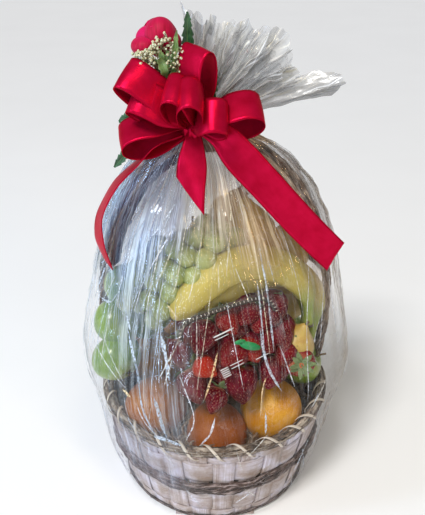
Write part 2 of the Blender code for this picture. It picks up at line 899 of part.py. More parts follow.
def babys_breath(finish):
    """A small spray: a flattened core covered with round florets, on one stalk."""
    draw = random.Random(23)
    rings = []
    lean = Matrix.Rotation(math.radians(20), 3, "Y")
    for i in range(1, 7):
        tilt = math.pi * i / 7
        ring = []
        for k in range(14):
            turn = TAU * k / 14
            lump = 1 + 0.08 * math.sin(3 * turn + 2 * i)
            flat = Vector(
                (
                    SPRIG_RADII[0] * lump * math.sin(tilt) * math.cos(turn),
                    SPRIG_RADII[1] * lump * math.sin(tilt) * math.sin(turn),
                    -SPRIG_RADII[2] * math.cos(tilt),
                )
            )
            ring.append(SPRIG_CENTRE + lean @ flat)
        rings.append(ring)
    pieces = [tube("sprig_core", rings)]
    golden = math.pi * (3 - math.sqrt(5))
    for i in range(FLORETS):
        level = 1 - 2 * (i + 0.5) / FLORETS
        turn = golden * i
        flat = math.sqrt(1 - level * level)
        way = Vector((flat * math.cos(turn), flat * math.sin(turn), level))
        size = draw.uniform(0.94, 1.05)
        spot = Vector([way[k] * SPRIG_RADII[k] * size for k in range(3)])
        pieces.append(floret(SPRIG_CENTRE + lean @ spot, FLORET_RADIUS * draw.uniform(0.8, 1.1)))
    start = SPRIG_CENTRE + Vector((0.010, 0.003, -0.010))
    line = stem_line(start, STEM_FOOT + Vector((0.0043, 0, 0.0065)), 0.035)
    pieces.append(stem("sprig_stalk", line, 0.0012))
    return fuse("babys_breath", pieces, finish, "MANIFOLD")


def leaf_stops():
    """Name, foot, start of the blade, tip, half width, teeth and facing of each leaf."""
    upright = ((-0.0245, -0.0290, 0.5095), (-0.0275, -0.0285, 0.560), (-0.0285, -0.0270, 0.632))
    behind = ((-0.0150, -0.0290, 0.505), (-0.0110, -0.0280, 0.521), (-0.0010, -0.0260, 0.580))
    left = ((-0.0382, -0.0280, 0.5275), (-0.0700, -0.0270, 0.527), (-0.1070, -0.0260, 0.514))
    lower = ((-0.0376, -0.0265, 0.5240), (-0.0760, -0.0245, 0.505), (-0.1160, -0.0260, 0.4600))
    return (
        ("leaf_upright", *upright, 0.0062, 6, (0.3, -1, 0.2)),
        ("leaf_behind_bow", *behind, 0.0090, 5, (0.1, -1, 0.2)),
        ("leaf_left", *left, 0.0090, 5, (0.0, -1, 0.5)),
        ("leaf_lower_left", *lower, 0.0075, 5, (0.0, -1, 0.4)),
    )


def leaf(name, foot, neck, tip, half_width, teeth, facing, finish):
    """A thin wavy blade on its stalk, with a toothed edge, both faces split alike."""
    foot, neck, tip = Vector(foot), Vector(neck), Vector(tip)
    steps = 4 + 2 * teeth
    half_thick = 0.0005
    points = []
    for i in range(steps + 1):
        if i < 4:
            t = i / 4
            middle = foot.lerp(neck, t)
            wide = 0.0011
            share = 0.0
        else:
            share = (i - 4) / (steps - 4)
            middle = neck.lerp(tip, share)
            round_off = math.sin(math.pi * (0.10 + 0.88 * share)) ** 0.8
            tooth = 1.0 if i % 2 else 0.82
            wide = max(0.0011, half_width * round_off * tooth)
        along = (tip - neck).normalized() if i >= 4 else (neck - foot).normalized()
        face = Vector(facing).normalized()
        side = along.cross(face).normalized()
        normal = side.cross(along).normalized()
        wave = math.sin(share * 7.0) * 0.0012
        for across in (-1, 0, 1):
            fold = 0.18 * half_width * abs(across) if i >= 4 else 0.0
            centre = middle + side * (wide * across) + normal * (wave * across + fold)
            points.append(centre + normal * half_thick)
            points.append(centre - normal * half_thick)
    faces = []
    for i in range(steps):
        a = i * 6
        b = a + 6
        for k in (0, 2):
            faces.append((a + k, a + k + 2, b + k + 2))
            faces.append((a + k, b + k + 2, b + k))
            faces.append((a + k + 1, b + k + 3, a + k + 3))
            faces.append((a + k + 1, b + k + 1, b + k + 3))
        faces.append((a, b, b + 1, a + 1))
        faces.append((a + 4, a + 5, b + 5, b + 4))
    last = steps * 6
    faces.append((0, 1, 3, 2))
    faces.append((2, 3, 5, 4))
    faces.append((last, last + 2, last + 3, last + 1))
    faces.append((last + 2, last + 4, last + 5, last + 3))
    return outward(make_object(name, points, faces, finish))


def build():
    clear_scene()
    basket_body(material("whitewashed_chip", (0.56, 0.50, 0.46), 0.75))
    basket_band(material("dark_twig", (0.16, 0.11, 0.08), 0.85))
    basket_rim(material("bark_rim", (0.27, 0.19, 0.13), 0.85))
    handle(material("vine", (0.25, 0.17, 0.12), 0.85))
    wrap(material("film_and_fruit", (0.72, 0.66, 0.42), 0.25))
    bow(material("crimson_satin", (0.52, 0.005, 0.03), 0.35))
    rose(material("rose_petal", (0.60, 0.02, 0.07), 0.55))
    rose_stem(material("stem_green", (0.10, 0.20, 0.05), 0.6))
    babys_breath(material("cream_florets", (0.72, 0.68, 0.52), 0.8))
    green = material("leaf_green", (0.03, 0.13, 0.04), 0.5)
    for stops in leaf_stops():
        leaf(*stops, green)


build()
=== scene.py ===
"""Looks of the fruit gift basket: woven chips, fruit in clear film, a satin bow, a rose and leaves.

Metres, +Z up, front at -Y. Forms that repeat the solids use the same sizes as the solids do.
Long tables of places are written in tenths of a millimetre.
"""

import math
import random
from functools import partialmethod

import bpy
import numpy as np
from mathutils import Matrix, Vector, noise


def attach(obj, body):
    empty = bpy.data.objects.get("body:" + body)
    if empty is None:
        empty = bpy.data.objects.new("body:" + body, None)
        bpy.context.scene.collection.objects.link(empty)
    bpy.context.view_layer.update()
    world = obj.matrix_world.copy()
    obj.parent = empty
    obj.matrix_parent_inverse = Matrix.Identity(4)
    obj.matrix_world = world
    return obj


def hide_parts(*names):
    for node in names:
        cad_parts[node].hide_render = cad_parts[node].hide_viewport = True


TAU = 2 * math.pi
UP = np.array([0, 0, 1.0])
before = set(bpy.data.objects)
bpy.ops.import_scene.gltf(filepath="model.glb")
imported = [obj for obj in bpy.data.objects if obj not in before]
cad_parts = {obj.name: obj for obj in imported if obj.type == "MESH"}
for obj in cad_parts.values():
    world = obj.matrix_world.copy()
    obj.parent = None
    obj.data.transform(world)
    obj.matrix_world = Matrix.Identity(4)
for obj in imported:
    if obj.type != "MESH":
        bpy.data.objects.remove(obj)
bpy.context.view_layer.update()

# Camera, at the photograph's angle
CAMERA_PLACE = Vector((-0.003, -0.7879, 0.7625))
CAMERA_TARGET = Vector((-0.003, 0.0, 0.3275))
CAMERA_LENS = 49.53

# Basket
BASE_RADIUS = 0.123
WALL_TOP_RADIUS = 0.1477
WALL_TOP = 0.1288
WALL_SLOPE = (WALL_TOP_RADIUS - BASE_RADIUS) / WALL_TOP
STAKES = 28
STAKE_PHASE = math.radians(-8.3)
CHIP_THICK = 0.0011
LOW_ROW = (0.0008, 0.0175)
LOWER_CHIP = (0.0170, 0.0600)
UPPER_CHIP = (0.0790, 0.1190)
TOP_ROW = (0.1175, 0.1300)
RIM_RADIUS = 0.1455
RIM_HEIGHT = 0.1365
LASHINGS = 26
TWIG_POINTS = 420

# Handle
HANDLE_HALF_SPAN = 0.1455
HANDLE_SPRING = 0.2585
HANDLE_RISE = 0.2321
HANDLE_AT_RIM = 0.1310
HANDLE_FOOT = 0.050
HANDLE_POINTS = 420
ARCH_MIDDLE = np.array([0, 0, 0.22])

# Fruit
GRAPES = 56
BERRY_SEEDS = 150
TUB_HALF_WIDTH = 0.0635
TUB_HALF_HEIGHT = 0.0770

# Gathered end of the film, which opens between two angles in degrees
FAN_CENTRE = Vector((-0.022, -0.012, 0.508))
FAN_FROM = 11
FAN_TO = 96
FAN_DEPTH = 0.022

# Bow
RIBBON_WIDTH = 0.038
RIBBON_THICK = 0.0005
KNOT = Vector((-0.0235, -0.047, 0.513))
TIE_CENTRE = Vector((-0.0230, -0.0185, 0.5140))

# Rose and spray
ROSE_CENTRE = Vector((-0.0610, -0.0165, 0.6055))
ROSE_RADIUS = 0.0235
ROSE_HEIGHT = 0.036
PETAL_THICK = 0.0009
STEM_FOOT = Vector((-0.0340, -0.0290, 0.5030))
SPRIG_CENTRE = Vector((-0.0645, -0.0455, 0.5910))


# Small tools


def blend(a, b, share):
    return a + (b - a) * share


def smooth_step(low, high, value):
    t = np.clip((value - low) / (high - low), 0.0, 1.0)
    return t * t * (3 - 2 * t)


def wall_radius(z):
    return BASE_RADIUS + WALL_SLOPE * z


def rough(points, scale, shift=0.0, octaves=3):
    """Fractal noise at each point, about -1 to 1."""
    points = np.asarray(points, dtype=float)
    move = Vector((shift, shift * 0.7, -shift))
    values = [noise.fractal(Vector(p) * scale + move, 0.7, 2.0, octaves) for p in points.reshape(-1, 3)]
    return np.array(values).reshape(points.shape[:-1])


def creased(points, scale, shift, octaves=3):
    """Noise with sharp ridges, about -1 to 1."""
    return 1 - 2.2 * np.abs(rough(points, scale, shift, octaves))


def unit(rows):
    rows = np.asarray(rows, dtype=float)
    return rows / np.maximum(np.linalg.norm(rows, axis=-1, keepdims=True), 1e-12)


def stack(x, y, z):
    """Points from coordinates that broadcast together."""
    return np.stack(np.broadcast_arrays(x, y, z), axis=-1)


def polar(angle, radius=1.0, z=0.0):
    """Points round the vertical axis."""
    return stack(radius * np.cos(angle), radius * np.sin(angle), z)


def even_turns(count):
    return TAU * np.arange(count) / count


def straight(start, end, count):
    t = np.linspace(0, 1, count)[:, None]
    return np.array(start) * (1 - t) + np.array(end) * t


def run_length(line):
    """Distance along a line at each of its points."""
    return np.concatenate([[0], np.cumsum(np.linalg.norm(np.diff(line, axis=0), axis=1))])


def signed_power(value, power):
    return np.sign(value) * np.abs(value) ** power


def tenths(values):
    """Metres from lengths that are written in tenths of a millimetre."""
    return np.array(values) / 10000


def hermite(a, b, slope_a, slope_b, u):
    return (
        (2 * u**3 - 3 * u**2 + 1) * a
        + (u**3 - 2 * u**2 + u) * slope_a
        + (3 * u**2 - 2 * u**3) * b
        + (u**3 - u**2) * slope_b
    )


def grid_faces(rows, cols, loop_rows=False, loop_cols=False):
    """Quads of a grid of points, joined round where asked."""
    r = np.arange(rows if loop_rows else rows - 1)[:, None]
    c = np.arange(cols if loop_cols else cols - 1)[None, :]
    r_next = (r + 1) % rows
    c_next = (c + 1) % cols
    corners = (r * cols + c, r * cols + c_next, r_next * cols + c_next, r_next * cols + c)
    return np.stack(np.broadcast_arrays(*corners), axis=-1).reshape(-1, 4)


def spline(stops, count):
    """Smooth rows through the stops, at even steps of the stops' index."""
    stops = np.asarray(stops, dtype=float)
    padded = np.vstack([2 * stops[0] - stops[1], stops, 2 * stops[-1] - stops[-2]])
    slopes = (padded[2:] - padded[:-2]) / 2
    t = np.linspace(0, len(stops) - 1, count)
    i = np.minimum(t.astype(int), len(stops) - 2)
    return hermite(stops[i], stops[i + 1], slopes[i], slopes[i + 1], (t - i)[:, None])


def read_table(rows, values):
    """Smooth reading of a table whose first column rises."""
    rows = np.asarray(rows, dtype=float)
    keys = rows[:, 0]
    slopes = np.gradient(rows[:, 1:], keys, axis=0)
    values = np.clip(np.asarray(values, dtype=float), keys[0], keys[-1])
    i = np.clip(np.searchsorted(keys, values, side="right") - 1, 0, len(keys) - 2)
    width = (keys[i + 1] - keys[i])[..., None]
    u = (values - keys[i])[..., None] / width
    return hermite(rows[i, 1:], rows[i + 1, 1:], slopes[i] * width, slopes[i + 1] * width, u)


class Pile:
    """Collects shapes into one mesh, with each point's place in its own shape and a tint."""

    def __init__(self):
        self.points, self.local, self.tint, self.faces = [], [], [], []
        self.count = 0

    def add(self, points, faces, local=None, tint=0.0):
        points = np.asarray(points, dtype=float).reshape(-1, 3)
        self.points.append(points)
        self.local.append(points if local is None else np.reshape(local, (-1, 3)))
        self.tint.append(np.broadcast_to(np.ravel(tint), (len(points),)))
        for group in faces if isinstance(faces, (list, tuple)) else (faces,):
            self.faces.extend((np.asarray(group) + self.count).tolist())
        self.count += len(points)

    def piece(self, name, finish, slot, *nodes):
        """Make the mesh; it rides on the body and may replace nodes. Its slot is not used."""
        mesh = bpy.data.meshes.new(name)
        mesh.from_pydata(np.concatenate(self.points).tolist(), [], self.faces)
        for key, kind, field, rows in (
            ("local", "FLOAT_VECTOR", "vector", self.local),
            ("tint", "FLOAT", "value", self.tint),
        ):
            values = np.concatenate(rows).astype(np.float32).ravel()
            mesh.attributes.new(key, kind, "POINT").data.foreach_set(field, values)
        mesh.materials.append(finish)
        mesh.shade_smooth()
        thing = put(name, mesh)
        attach(thing, "root")
        if nodes:
            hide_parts(*nodes)
        return thing


def put(name, data, place=(0, 0, 0)):
    thing = bpy.data.objects.new(name, data)
    thing.location = place
    bpy.context.scene.collection.objects.link(thing)
    return thing


def loft(pile, rings, local=None, tint=0.0, closed_length=False):
    """Closed skin over rings of points, with a fan over each end unless the rings close up."""
    rings = np.asarray(rings, dtype=float)
    count, around = rings.shape[:2]
    local = rings if local is None else np.asarray(local, dtype=float)
    faces = [grid_faces(count, around, closed_length, True)]
    points, places = rings.reshape(-1, 3), local.reshape(-1, 3)
    if not closed_length:
        first, last = count * around, count * around + 1
        k = np.arange(around)
        after = (k + 1) % around
        end = (count - 1) * around
        faces += [stack(first, after, k), stack(last, end + k, end + after)]
        points = np.vstack([points, rings[0].mean(axis=0), rings[-1].mean(axis=0)])
        places = np.vstack([places, local[0].mean(axis=0), local[-1].mean(axis=0)])
    if np.ndim(tint) and len(tint) < len(points):
        tint = np.concatenate([tint, tint[[0, -1]]])
    pile.add(points, faces, places, tint)


def line_axes(line):
    """Two directions square to a line at each of its points, turning as little as possible."""
    along = unit(np.gradient(np.asarray(line, dtype=float), axis=0))
    first = Vector(along[0]).orthogonal().normalized()
    firsts = []
    for row in along:
        way = Vector(row)
        first = (first - way * first.dot(way)).normalized()
        firsts.append(first.copy())
    firsts = np.array(firsts)
    return firsts, np.cross(along, firsts)


def spokes(first, second, turns):
    """Directions round a line, from its two square directions at each of its points."""
    return np.cos(turns)[None, :, None] * first[:, None] + np.sin(turns)[None, :, None] * second[:, None]


def sweep(pile, line, radii, sides=8, tint=0.0, lump=0.0, seed=0.0, flat=1.0):
    """A round rod along a line, with its surface uneven by a share of its radius."""
    line = np.asarray(line, dtype=float)
    first, second = line_axes(line)
    turns = even_turns(sides)
    radii = np.broadcast_to(np.asarray(radii, dtype=float), (len(line),))
    spread = spokes(first * flat, second, turns)
    rings = line[:, None] + spread * radii[:, None, None]
    if lump:
        bark = rough(rings, 260.0, seed)
        rings = line[:, None] + spread * (radii[:, None] * (1 + lump * bark))[..., None]
    mean = radii.mean()
    local = stack(run_length(line)[:, None], mean * np.cos(turns), mean * np.sin(turns) + seed)
    loft(pile, rings, local, tint)


# Material tools


class Nodes:
    """A material's nodes, added by short calls."""

    def __init__(self, name):
        self.material = bpy.data.materials.new(name)
        self.material.use_nodes = True
        self.tree = self.material.node_tree
        self.shader = self.tree.nodes["Principled BSDF"]

    def feed(self, socket, value):
        """Link a socket to another one or set its value; a colour may come without its alpha."""
        if isinstance(value, bpy.types.NodeSocket):
            self.tree.links.new(value, socket)
        elif socket.type == "RGBA":
            socket.default_value = (*value, 1)[:4]
        else:
            socket.default_value = value

    def add(self, kind, inputs=None, **settings):
        node = self.tree.nodes.new(kind)
        for key, value in settings.items():
            setattr(node, key, value)
        for key, value in (inputs or {}).items():
            self.feed(node.inputs[key], value)
        return node

    def place(self):
        return self.add("ShaderNodeTexCoord").outputs["Object"]

    def local(self):
        return self.add("ShaderNodeAttribute", attribute_name="local").outputs["Vector"]

    def tint(self):
        return self.add("ShaderNodeAttribute", attribute_name="tint").outputs["Fac"]

    def facing(self, blend_by):
        return self.add("ShaderNodeLayerWeight", {"Blend": blend_by}).outputs["Facing"]

    def split(self, vector):
        return self.add("ShaderNodeSeparateXYZ", {"Vector": vector}).outputs

    def join(self, x, y, z):
        return self.add("ShaderNodeCombineXYZ", {"X": x, "Y": y, "Z": z}).outputs["Vector"]

    def noise(self, vector, scale, detail=3.0, roughness=0.55, distortion=0.0):
        """Noise at a scale, which is one number or one for each direction."""
        if isinstance(scale, tuple):
            vector = self.add("ShaderNodeMapping", {"Vector": vector, "Scale": scale}).outputs["Vector"]
            scale = 1.0
        values = {"Vector": vector, "Scale": scale, "Detail": detail}
        values.update({"Roughness": roughness, "Distortion": distortion})
        return self.add("ShaderNodeTexNoise", values).outputs["Fac"]

    def cells(self, vector, scale):
        return self.add("ShaderNodeTexVoronoi", {"Vector": vector, "Scale": scale}).outputs["Distance"]

    def ramp(self, fac, *stops):
        node = self.add("ShaderNodeValToRGB", {"Fac": fac})
        band = node.color_ramp
        while len(band.elements) < len(stops):
            band.elements.new(0.5)
        for element, (place, value) in zip(band.elements, stops):
            element.position = place
            colour = value if isinstance(value, tuple) else (value,) * 3
            element.color = (*colour, 1)
        return node.outputs["Color"]

    def fade(self, fac, start, end, most=1.0):
        """A share that grows from 0 at start to most at end; end may lie below start."""
        stops = ((start, 0.0), (end, most))
        return self.ramp(fac, *sorted(stops))

    def mix(self, fac, a, b, blend_type="MIX"):
        node = self.add("ShaderNodeMix", {0: fac, 6: a, 7: b}, data_type="RGBA", blend_type=blend_type)
        return node.outputs[2]

    def maths(self, operation, a, b=0.0, clamp=False):
        node = self.add("ShaderNodeMath", {0: a, 1: b}, operation=operation, use_clamp=clamp)
        return node.outputs["Value"]

    plus = partialmethod(maths, "ADD")
    minus = partialmethod(maths, "SUBTRACT")
    times = partialmethod(maths, "MULTIPLY")
    over = partialmethod(maths, "DIVIDE")
    most = partialmethod(maths, "MAXIMUM")
    size = partialmethod(maths, "ABSOLUTE")

    def bump(self, height, strength, distance):
        values = {"Height": height, "Strength": strength, "Distance": distance}
        return self.add("ShaderNodeBump", values).outputs["Normal"]

    def finish(self, colour, roughness, normal=None, **others):
        """Set the shader; the other inputs have _ for each space of their name."""
        others.update({"Base Color": colour, "Roughness": roughness})
        if normal:
            others["Normal"] = normal
        for name, value in others.items():
            self.feed(self.shader.inputs[name.replace("_", " ")], value)
        return self.material


# Basket


def chip_finish():
    """Whitewashed wood chip: pale wash with the tan wood showing through along the grain."""
    n = Nodes("whitewashed_chip")
    local, place = n.local(), n.place()
    grain = n.noise(local, (9, 700, 60), 4.0, 0.6)
    wide_grain = n.noise(local, (5, 130, 60), 3.0, 0.5)
    patches = n.noise(place, 34.0, 3.0, 0.6)
    wash = n.ramp(patches, (0.36, (0.40, 0.32, 0.27)), (0.50, (0.55, 0.50, 0.50)), (0.64, (0.72, 0.72, 0.84)))
    lines = n.ramp(grain, (0.34, (0.52, 0.43, 0.37)), (0.56, (1.0, 1.0, 1.0)))
    colour = n.mix(0.65, wash, lines, "MULTIPLY")
    broad = n.ramp(wide_grain, (0.30, (0.72, 0.64, 0.60)), (0.60, (1.0, 1.0, 1.0)))
    colour = n.mix(0.8, colour, broad, "MULTIPLY")
    shade = n.ramp(n.tint(), (0.0, (0.78, 0.70, 0.64)), (1.0, (1.12, 1.10, 1.14)))
    colour = n.mix(1.0, colour, shade, "MULTIPLY")
    height = n.plus(n.times(grain, 0.6), wide_grain)
    normal = n.bump(height, 0.35, 0.0008)
    return n.finish(colour, n.ramp(patches, (0.3, 0.62), (0.7, 0.82)), normal)


def strip_rings(line, outs, ups, half, thick, across=7, crown=0.0):
    """Closed rings of a flat strip whose width runs along ups and thickness along outs."""
    outs, ups = np.broadcast_to(outs, line.shape)[:, None], np.broadcast_to(ups, line.shape)[:, None]
    half = np.broadcast_to(half, (len(line),))[:, None, None]
    s = np.linspace(-1, 1, across)[None, :, None]
    middle = line[:, None] + ups * (s * half) + outs * (crown * (1 - s**2))
    return np.concatenate([middle + outs * (thick / 2), (middle - outs * (thick / 2))[:, ::-1]], axis=1)


def strip_local(steps, across, half, seed):
    s = np.linspace(-1, 1, across)
    half = np.broadcast_to(half, (len(steps),))[:, None]
    return stack(np.asarray(steps)[:, None], half * np.concatenate([s, s[::-1]]), seed)


def weave_wave(angle):
    """1 over a stake that shows outside in the wide rows, -1 half way between two such stakes."""
    return np.cos((angle - STAKE_PHASE) * STAKES / 2)


def hoop_chip(pile, row, over_stakes, seed):
    """One level chip that weaves round the wall, in front of or behind the outer stakes."""
    angle = even_turns(STAKES * 10)
    lift = 0.0019 * np.clip(weave_wave(angle) * (1.4 if over_stakes else -1.4), -1, 1)
    wobble = rough(polar(angle, 1.0, seed), 5.0)
    middle = (row[0] + row[1]) / 2 + 0.0006 * wobble
    half = (row[1] - row[0]) / 2 - 0.0006 + 0.0005 * rough(polar(angle, 1.0, -seed), 9.0)
    line = polar(angle, wall_radius(middle) + lift + 0.0004 * wobble, middle)
    rings = strip_rings(line, polar(angle), unit(polar(angle, WALL_SLOPE, 1.0)), half, CHIP_THICK, 7, 0.0007)
    local = strip_local(angle * BASE_RADIUS, 7, half, seed * 0.37)
    loft(pile, rings, local, np.repeat(0.5 + 0.35 * wobble, 14), closed_length=True)


def stake(pile, index):
    """One upright chip, outside the wide rows when its index is even."""
    draw = random.Random(100 + index)
    angle = STAKE_PHASE + TAU * index / STAKES
    outer = index % 2 == 0
    z = np.linspace(0.0012, 0.1305, 34)
    wide_row = smooth_step(0.016, 0.021, z) * (1 - smooth_step(0.056, 0.061, z))
    wide_row = wide_row + smooth_step(0.079, 0.084, z) * (1 - smooth_step(0.114, 0.119, z))
    lift = blend(-0.0004, 0.0014, wide_row) if outer else blend(0.0004, -0.0013, wide_row)
    side = polar(angle + math.pi / 2)
    lean = draw.uniform(-0.010, 0.010)
    line = polar(angle, wall_radius(z) + lift, z) + side * (lean * (z - 0.065))[:, None]
    half = (0.0133 if outer else 0.0120) * draw.uniform(0.94, 1.05) + 0.0005 * rough(line, 60.0, index)
    rings = strip_rings(line, polar(angle), side, half, CHIP_THICK, 7, 0.0006)
    loft(pile, rings, strip_local(z, 7, half, index * 0.61 + 3), 0.62 + draw.uniform(-0.2, 0.3))


def base_strips(pile):
    """The bottom: two layers of strips laced across each other."""
    width, pitch = 0.026, 0.027
    reach = BASE_RADIUS - 0.003
    for turn in (0, 1):
        for k in range(-4, 5):
            half_length = math.sqrt(reach**2 - (k * pitch) ** 2)
            t = np.linspace(-half_length, half_length, 41)
            lace = 0.0009 * np.cos(t / pitch * math.pi) * (1 if (k + turn) % 2 else -1)
            line, across = stack(t, k * pitch, 0.0030 + lace), np.array([0, 1.0, 0])
            if turn:
                line, across = line[:, [1, 0, 2]], across[[1, 0, 2]]
            rings = strip_rings(line, UP, across, width / 2, CHIP_THICK, 5)
            loft(pile, rings, strip_local(t, 5, width / 2, k + 9 * turn), 0.45 + 0.05 * k)


def basket_body(finish):
    pile = Pile()
    rows = ((LOW_ROW, True), (LOWER_CHIP, False), (UPPER_CHIP, False), (TOP_ROW, True))
    for k, (row, over_stakes) in enumerate(rows):
        hoop_chip(pile, row, over_stakes, k + 1)
    for index in range(STAKES):
        stake(pile, index)
    base_strips(pile)
    return pile.piece("woven_chips", finish, "whitewashed_chip", "basket_body")


def bark_finish(name, dark, middle, pale, pale_share=0.62):
    """Rough bark: dark cracks, brown ridges and pale flakes along the twig."""
    n = Nodes(name)
    local, place = n.local(), n.place()
    ridges = n.noise(local, (70, 420, 420), 4.0, 0.65)
    flakes = n.noise(local, (40, 260, 260), 3.0, 0.6, 0.4)
    patches = n.noise(place, 60.0, 3.0, 0.6)
    colour = n.ramp(ridges, (0.36, dark), (0.52, middle), (pale_share, pale))
    colour = n.mix(n.fade(flakes, 0.56, 0.64, 0.75), colour, pale)
    colour = n.mix(n.fade(patches, 0.50, 0.70, 0.7), colour, dark)
    shade = n.ramp(n.tint(), (0.0, 0.70), (1.0, 1.20))
    colour = n.mix(1.0, colour, shade, "MULTIPLY")
    normal = n.bump(ridges, 0.8, 0.0012)
    return n.finish(colour, 0.85, normal)


def ring_twig(pile, radius_at, height_at, thick, seed, sides=8, flat=1.0):
    """A twig bent round the basket, its ends overlapping a little."""
    angle = math.pi / 2 + seed + np.linspace(0, TAU + 0.12, TWIG_POINTS)
    line = polar(angle, radius_at(angle), height_at(angle))
    knots = 1 + 0.22 * np.clip(rough(line, 30.0, seed * 3), 0, 1)
    from_start = np.arange(TWIG_POINTS)
    ends = np.clip(np.minimum(from_start, from_start[::-1]) / 8, 0.35, 1)
    sweep(pile, line, thick * knots * ends, sides, 0.5 + 0.4 * math.sin(seed * 5), 0.22, seed, flat)


def twig_band(finish):
    """Five twigs that wander round the middle of the wall, and a thin one at its foot."""
    pile = Pile()
    for k, (thick, height, swing, phase) in enumerate((
        (0.0036, 0.0640, 0.0024, 0.3), (0.0033, 0.0752, 0.0026, 2.1), (0.0034, 0.0700, 0.0052, 3.9),
        (0.0026, 0.0690, 0.0066, 0.9), (0.0020, 0.0660, 0.0080, 5.1),
    )):
        def radius_at(a):
            waves = np.sin(a * 9 + phase * 2 + k) + np.cos((a - STAKE_PHASE) * 14 + k * math.pi)
            return wall_radius(height) + 0.0028 + 0.45 * thick + 0.0012 * waves

        def height_at(a):
            waves = swing * np.sin(a * 7 + phase) * np.cos(a * 2 + phase)
            return height + waves + 0.0007 * np.sin(a * 23 + phase)

        ring_twig(pile, radius_at, height_at, thick, k + 0.5)
    ring_twig(
        pile,
        lambda a: wall_radius(0.004) + 0.0036 + 0.0004 * np.sin(a * 13),
        lambda a: 0.0046 + 0.0010 * np.sin(a * 5 + 1),
        0.0019, 7.3, 6,
    )
    return pile.piece("twig_band", finish, "dark_twig", "basket_band")


def twig_rim(finish):
    """Five twigs twisted into a bundle, with two flat splints on it."""
    pile = Pile()
    bundle = 0.0034
    for k in range(5):
        def round_bundle(a):
            return TAU * k / 5 + 0.9 * np.sin(a * 2 + TAU * k / 5)

        ring_twig(
            pile,
            lambda a: RIM_RADIUS + bundle * np.cos(round_bundle(a)),
            lambda a: RIM_HEIGHT + bundle * np.sin(round_bundle(a)),
            0.0031 + 0.0003 * math.sin(k * 2.2), k + 10.2,
        )
    for k, (high, out) in enumerate(((0.0052, 0.0030), (0.0010, 0.0062))):
        ring_twig(
            pile,
            lambda a: RIM_RADIUS + out + 0.0004 * np.sin(a * 6 + k),
            lambda a: RIM_HEIGHT + high + 0.0004 * np.sin(a * 9 + k),
            0.0013, k + 16.4, flat=2.6,
        )
    return pile.piece("twig_rim", finish, "bark_rim", "basket_rim")


def raffia_finish():
    n = Nodes("raffia")
    local = n.local()
    fibre = n.noise(local, (30, 1500, 1), 3.0)
    colour = n.ramp(fibre, (0.35, (0.42, 0.33, 0.25)), (0.6, (0.78, 0.71, 0.62)))
    return n.finish(colour, 0.7, n.bump(fibre, 0.5, 0.0005))


def raffia(finish):
    """Pale flat lashings that loop over the rim and down through the weave."""
    pile = Pile()
    draw = random.Random(31)
    turn = np.linspace(-0.62 * math.pi, 1.12 * math.pi, 30)
    over = np.sin(turn) > 0
    for k in range(LASHINGS):
        base = math.radians(-87) + TAU * k / LASHINGS + draw.uniform(-0.03, 0.03)
        around = base - draw.uniform(0.15, 0.20) * turn / math.pi
        high = 0.0086 + draw.uniform(-0.0003, 0.0005)
        out = RIM_RADIUS + 0.0003 + np.where(over, 0.0078, 0.0088) * np.cos(turn)
        line = polar(around, out, RIM_HEIGHT + np.where(over, high, 0.0125) * np.sin(turn))
        outs = unit(line - polar(around, RIM_RADIUS, RIM_HEIGHT))
        ups = unit(np.cross(unit(np.gradient(line, axis=0)), outs))
        half = draw.uniform(0.0014, 0.0019)
        rings = strip_rings(line, outs, ups, half, 0.0006, 5, 0.0003)
        loft(pile, rings, strip_local(turn * 0.008, 5, half, k), draw.random())
    return pile.piece("raffia", finish, "bark_rim")


# Handle


def leg_x(z):
    """Half the handle's width at a height, above and below the rim."""
    share = (HANDLE_SPRING - z) / (HANDLE_SPRING - RIM_HEIGHT)
    above = HANDLE_HALF_SPAN - (HANDLE_HALF_SPAN - HANDLE_AT_RIM) * share * share
    return np.where(z >= RIM_HEIGHT, above, HANDLE_AT_RIM - WALL_SLOPE * (RIM_HEIGHT - z))


def handle_line():
    """Even points along the middle of the handle, from its left foot to its right one."""
    z = np.linspace(HANDLE_FOOT, HANDLE_SPRING, 60, endpoint=False)
    leg = stack(-leg_x(z), 0.0, z)
    turn = np.linspace(0, math.pi, 200)
    arch = stack(-HANDLE_HALF_SPAN * np.cos(turn), 0.0, HANDLE_SPRING + HANDLE_RISE * np.sin(turn))
    line = np.concatenate([leg, arch, leg[::-1] * np.array([-1, 1, 1])])
    steps = run_length(line)
    even = np.linspace(0, steps[-1], HANDLE_POINTS)
    return stack(*(np.interp(even, steps, column) for column in line.T))


def vine_handle(finish):
    pile = Pile()
    line = handle_line()
    first, second = line_axes(line)
    sway = 0.5 * np.sin(np.linspace(0, 23, HANDLE_POINTS))
    for k, (thick, offset) in enumerate(((0.0038, 0.0028), (0.0034, 0.0030), (0.0032, 0.0034))):
        turn = np.linspace(0, TAU * 9, HANDLE_POINTS) + TAU * k / 3 + sway
        path = line + offset * (np.cos(turn)[:, None] * first + np.sin(turn)[:, None] * second)
        knots = 1 + 0.25 * np.clip(rough(path, 26.0, 4 + k), 0, 1)
        sweep(pile, path, thick * knots, 9, 0.3 + 0.3 * k, 0.2, k + 21.0)
    return pile.piece("vine_handle", finish, "vine", "handle")


def inner_vine(pile, above, shift, thick, depth_at, *look):
    """A vine along the inner side of the handle's arch, with its depth from its share of the way."""
    line = handle_line()
    line = line[line[:, 2] > above]
    share = np.linspace(0, 1, len(line))
    ease = np.clip(np.minimum(share, 1 - share) * 14, 0, 1)
    path = line + unit(ARCH_MIDDLE - line) * (shift * ease)[:, None]
    path[:, 1] += depth_at(share)
    sweep(pile, path, thick * np.clip(ease, 0.3, 1), *look)


def dark_vines(finish):
    pile = Pile()
    for k, (shift, thick) in enumerate(((0.0128, 0.0044), (0.0182, 0.0034))):
        inner_vine(pile, 0.300, shift, thick, lambda s: 0.002 * np.sin(s * 40 + k * 2), 9, 0.2, 0.25, k + 31.0)
    return pile.piece("dark_vines", finish, "vine", "wrap")


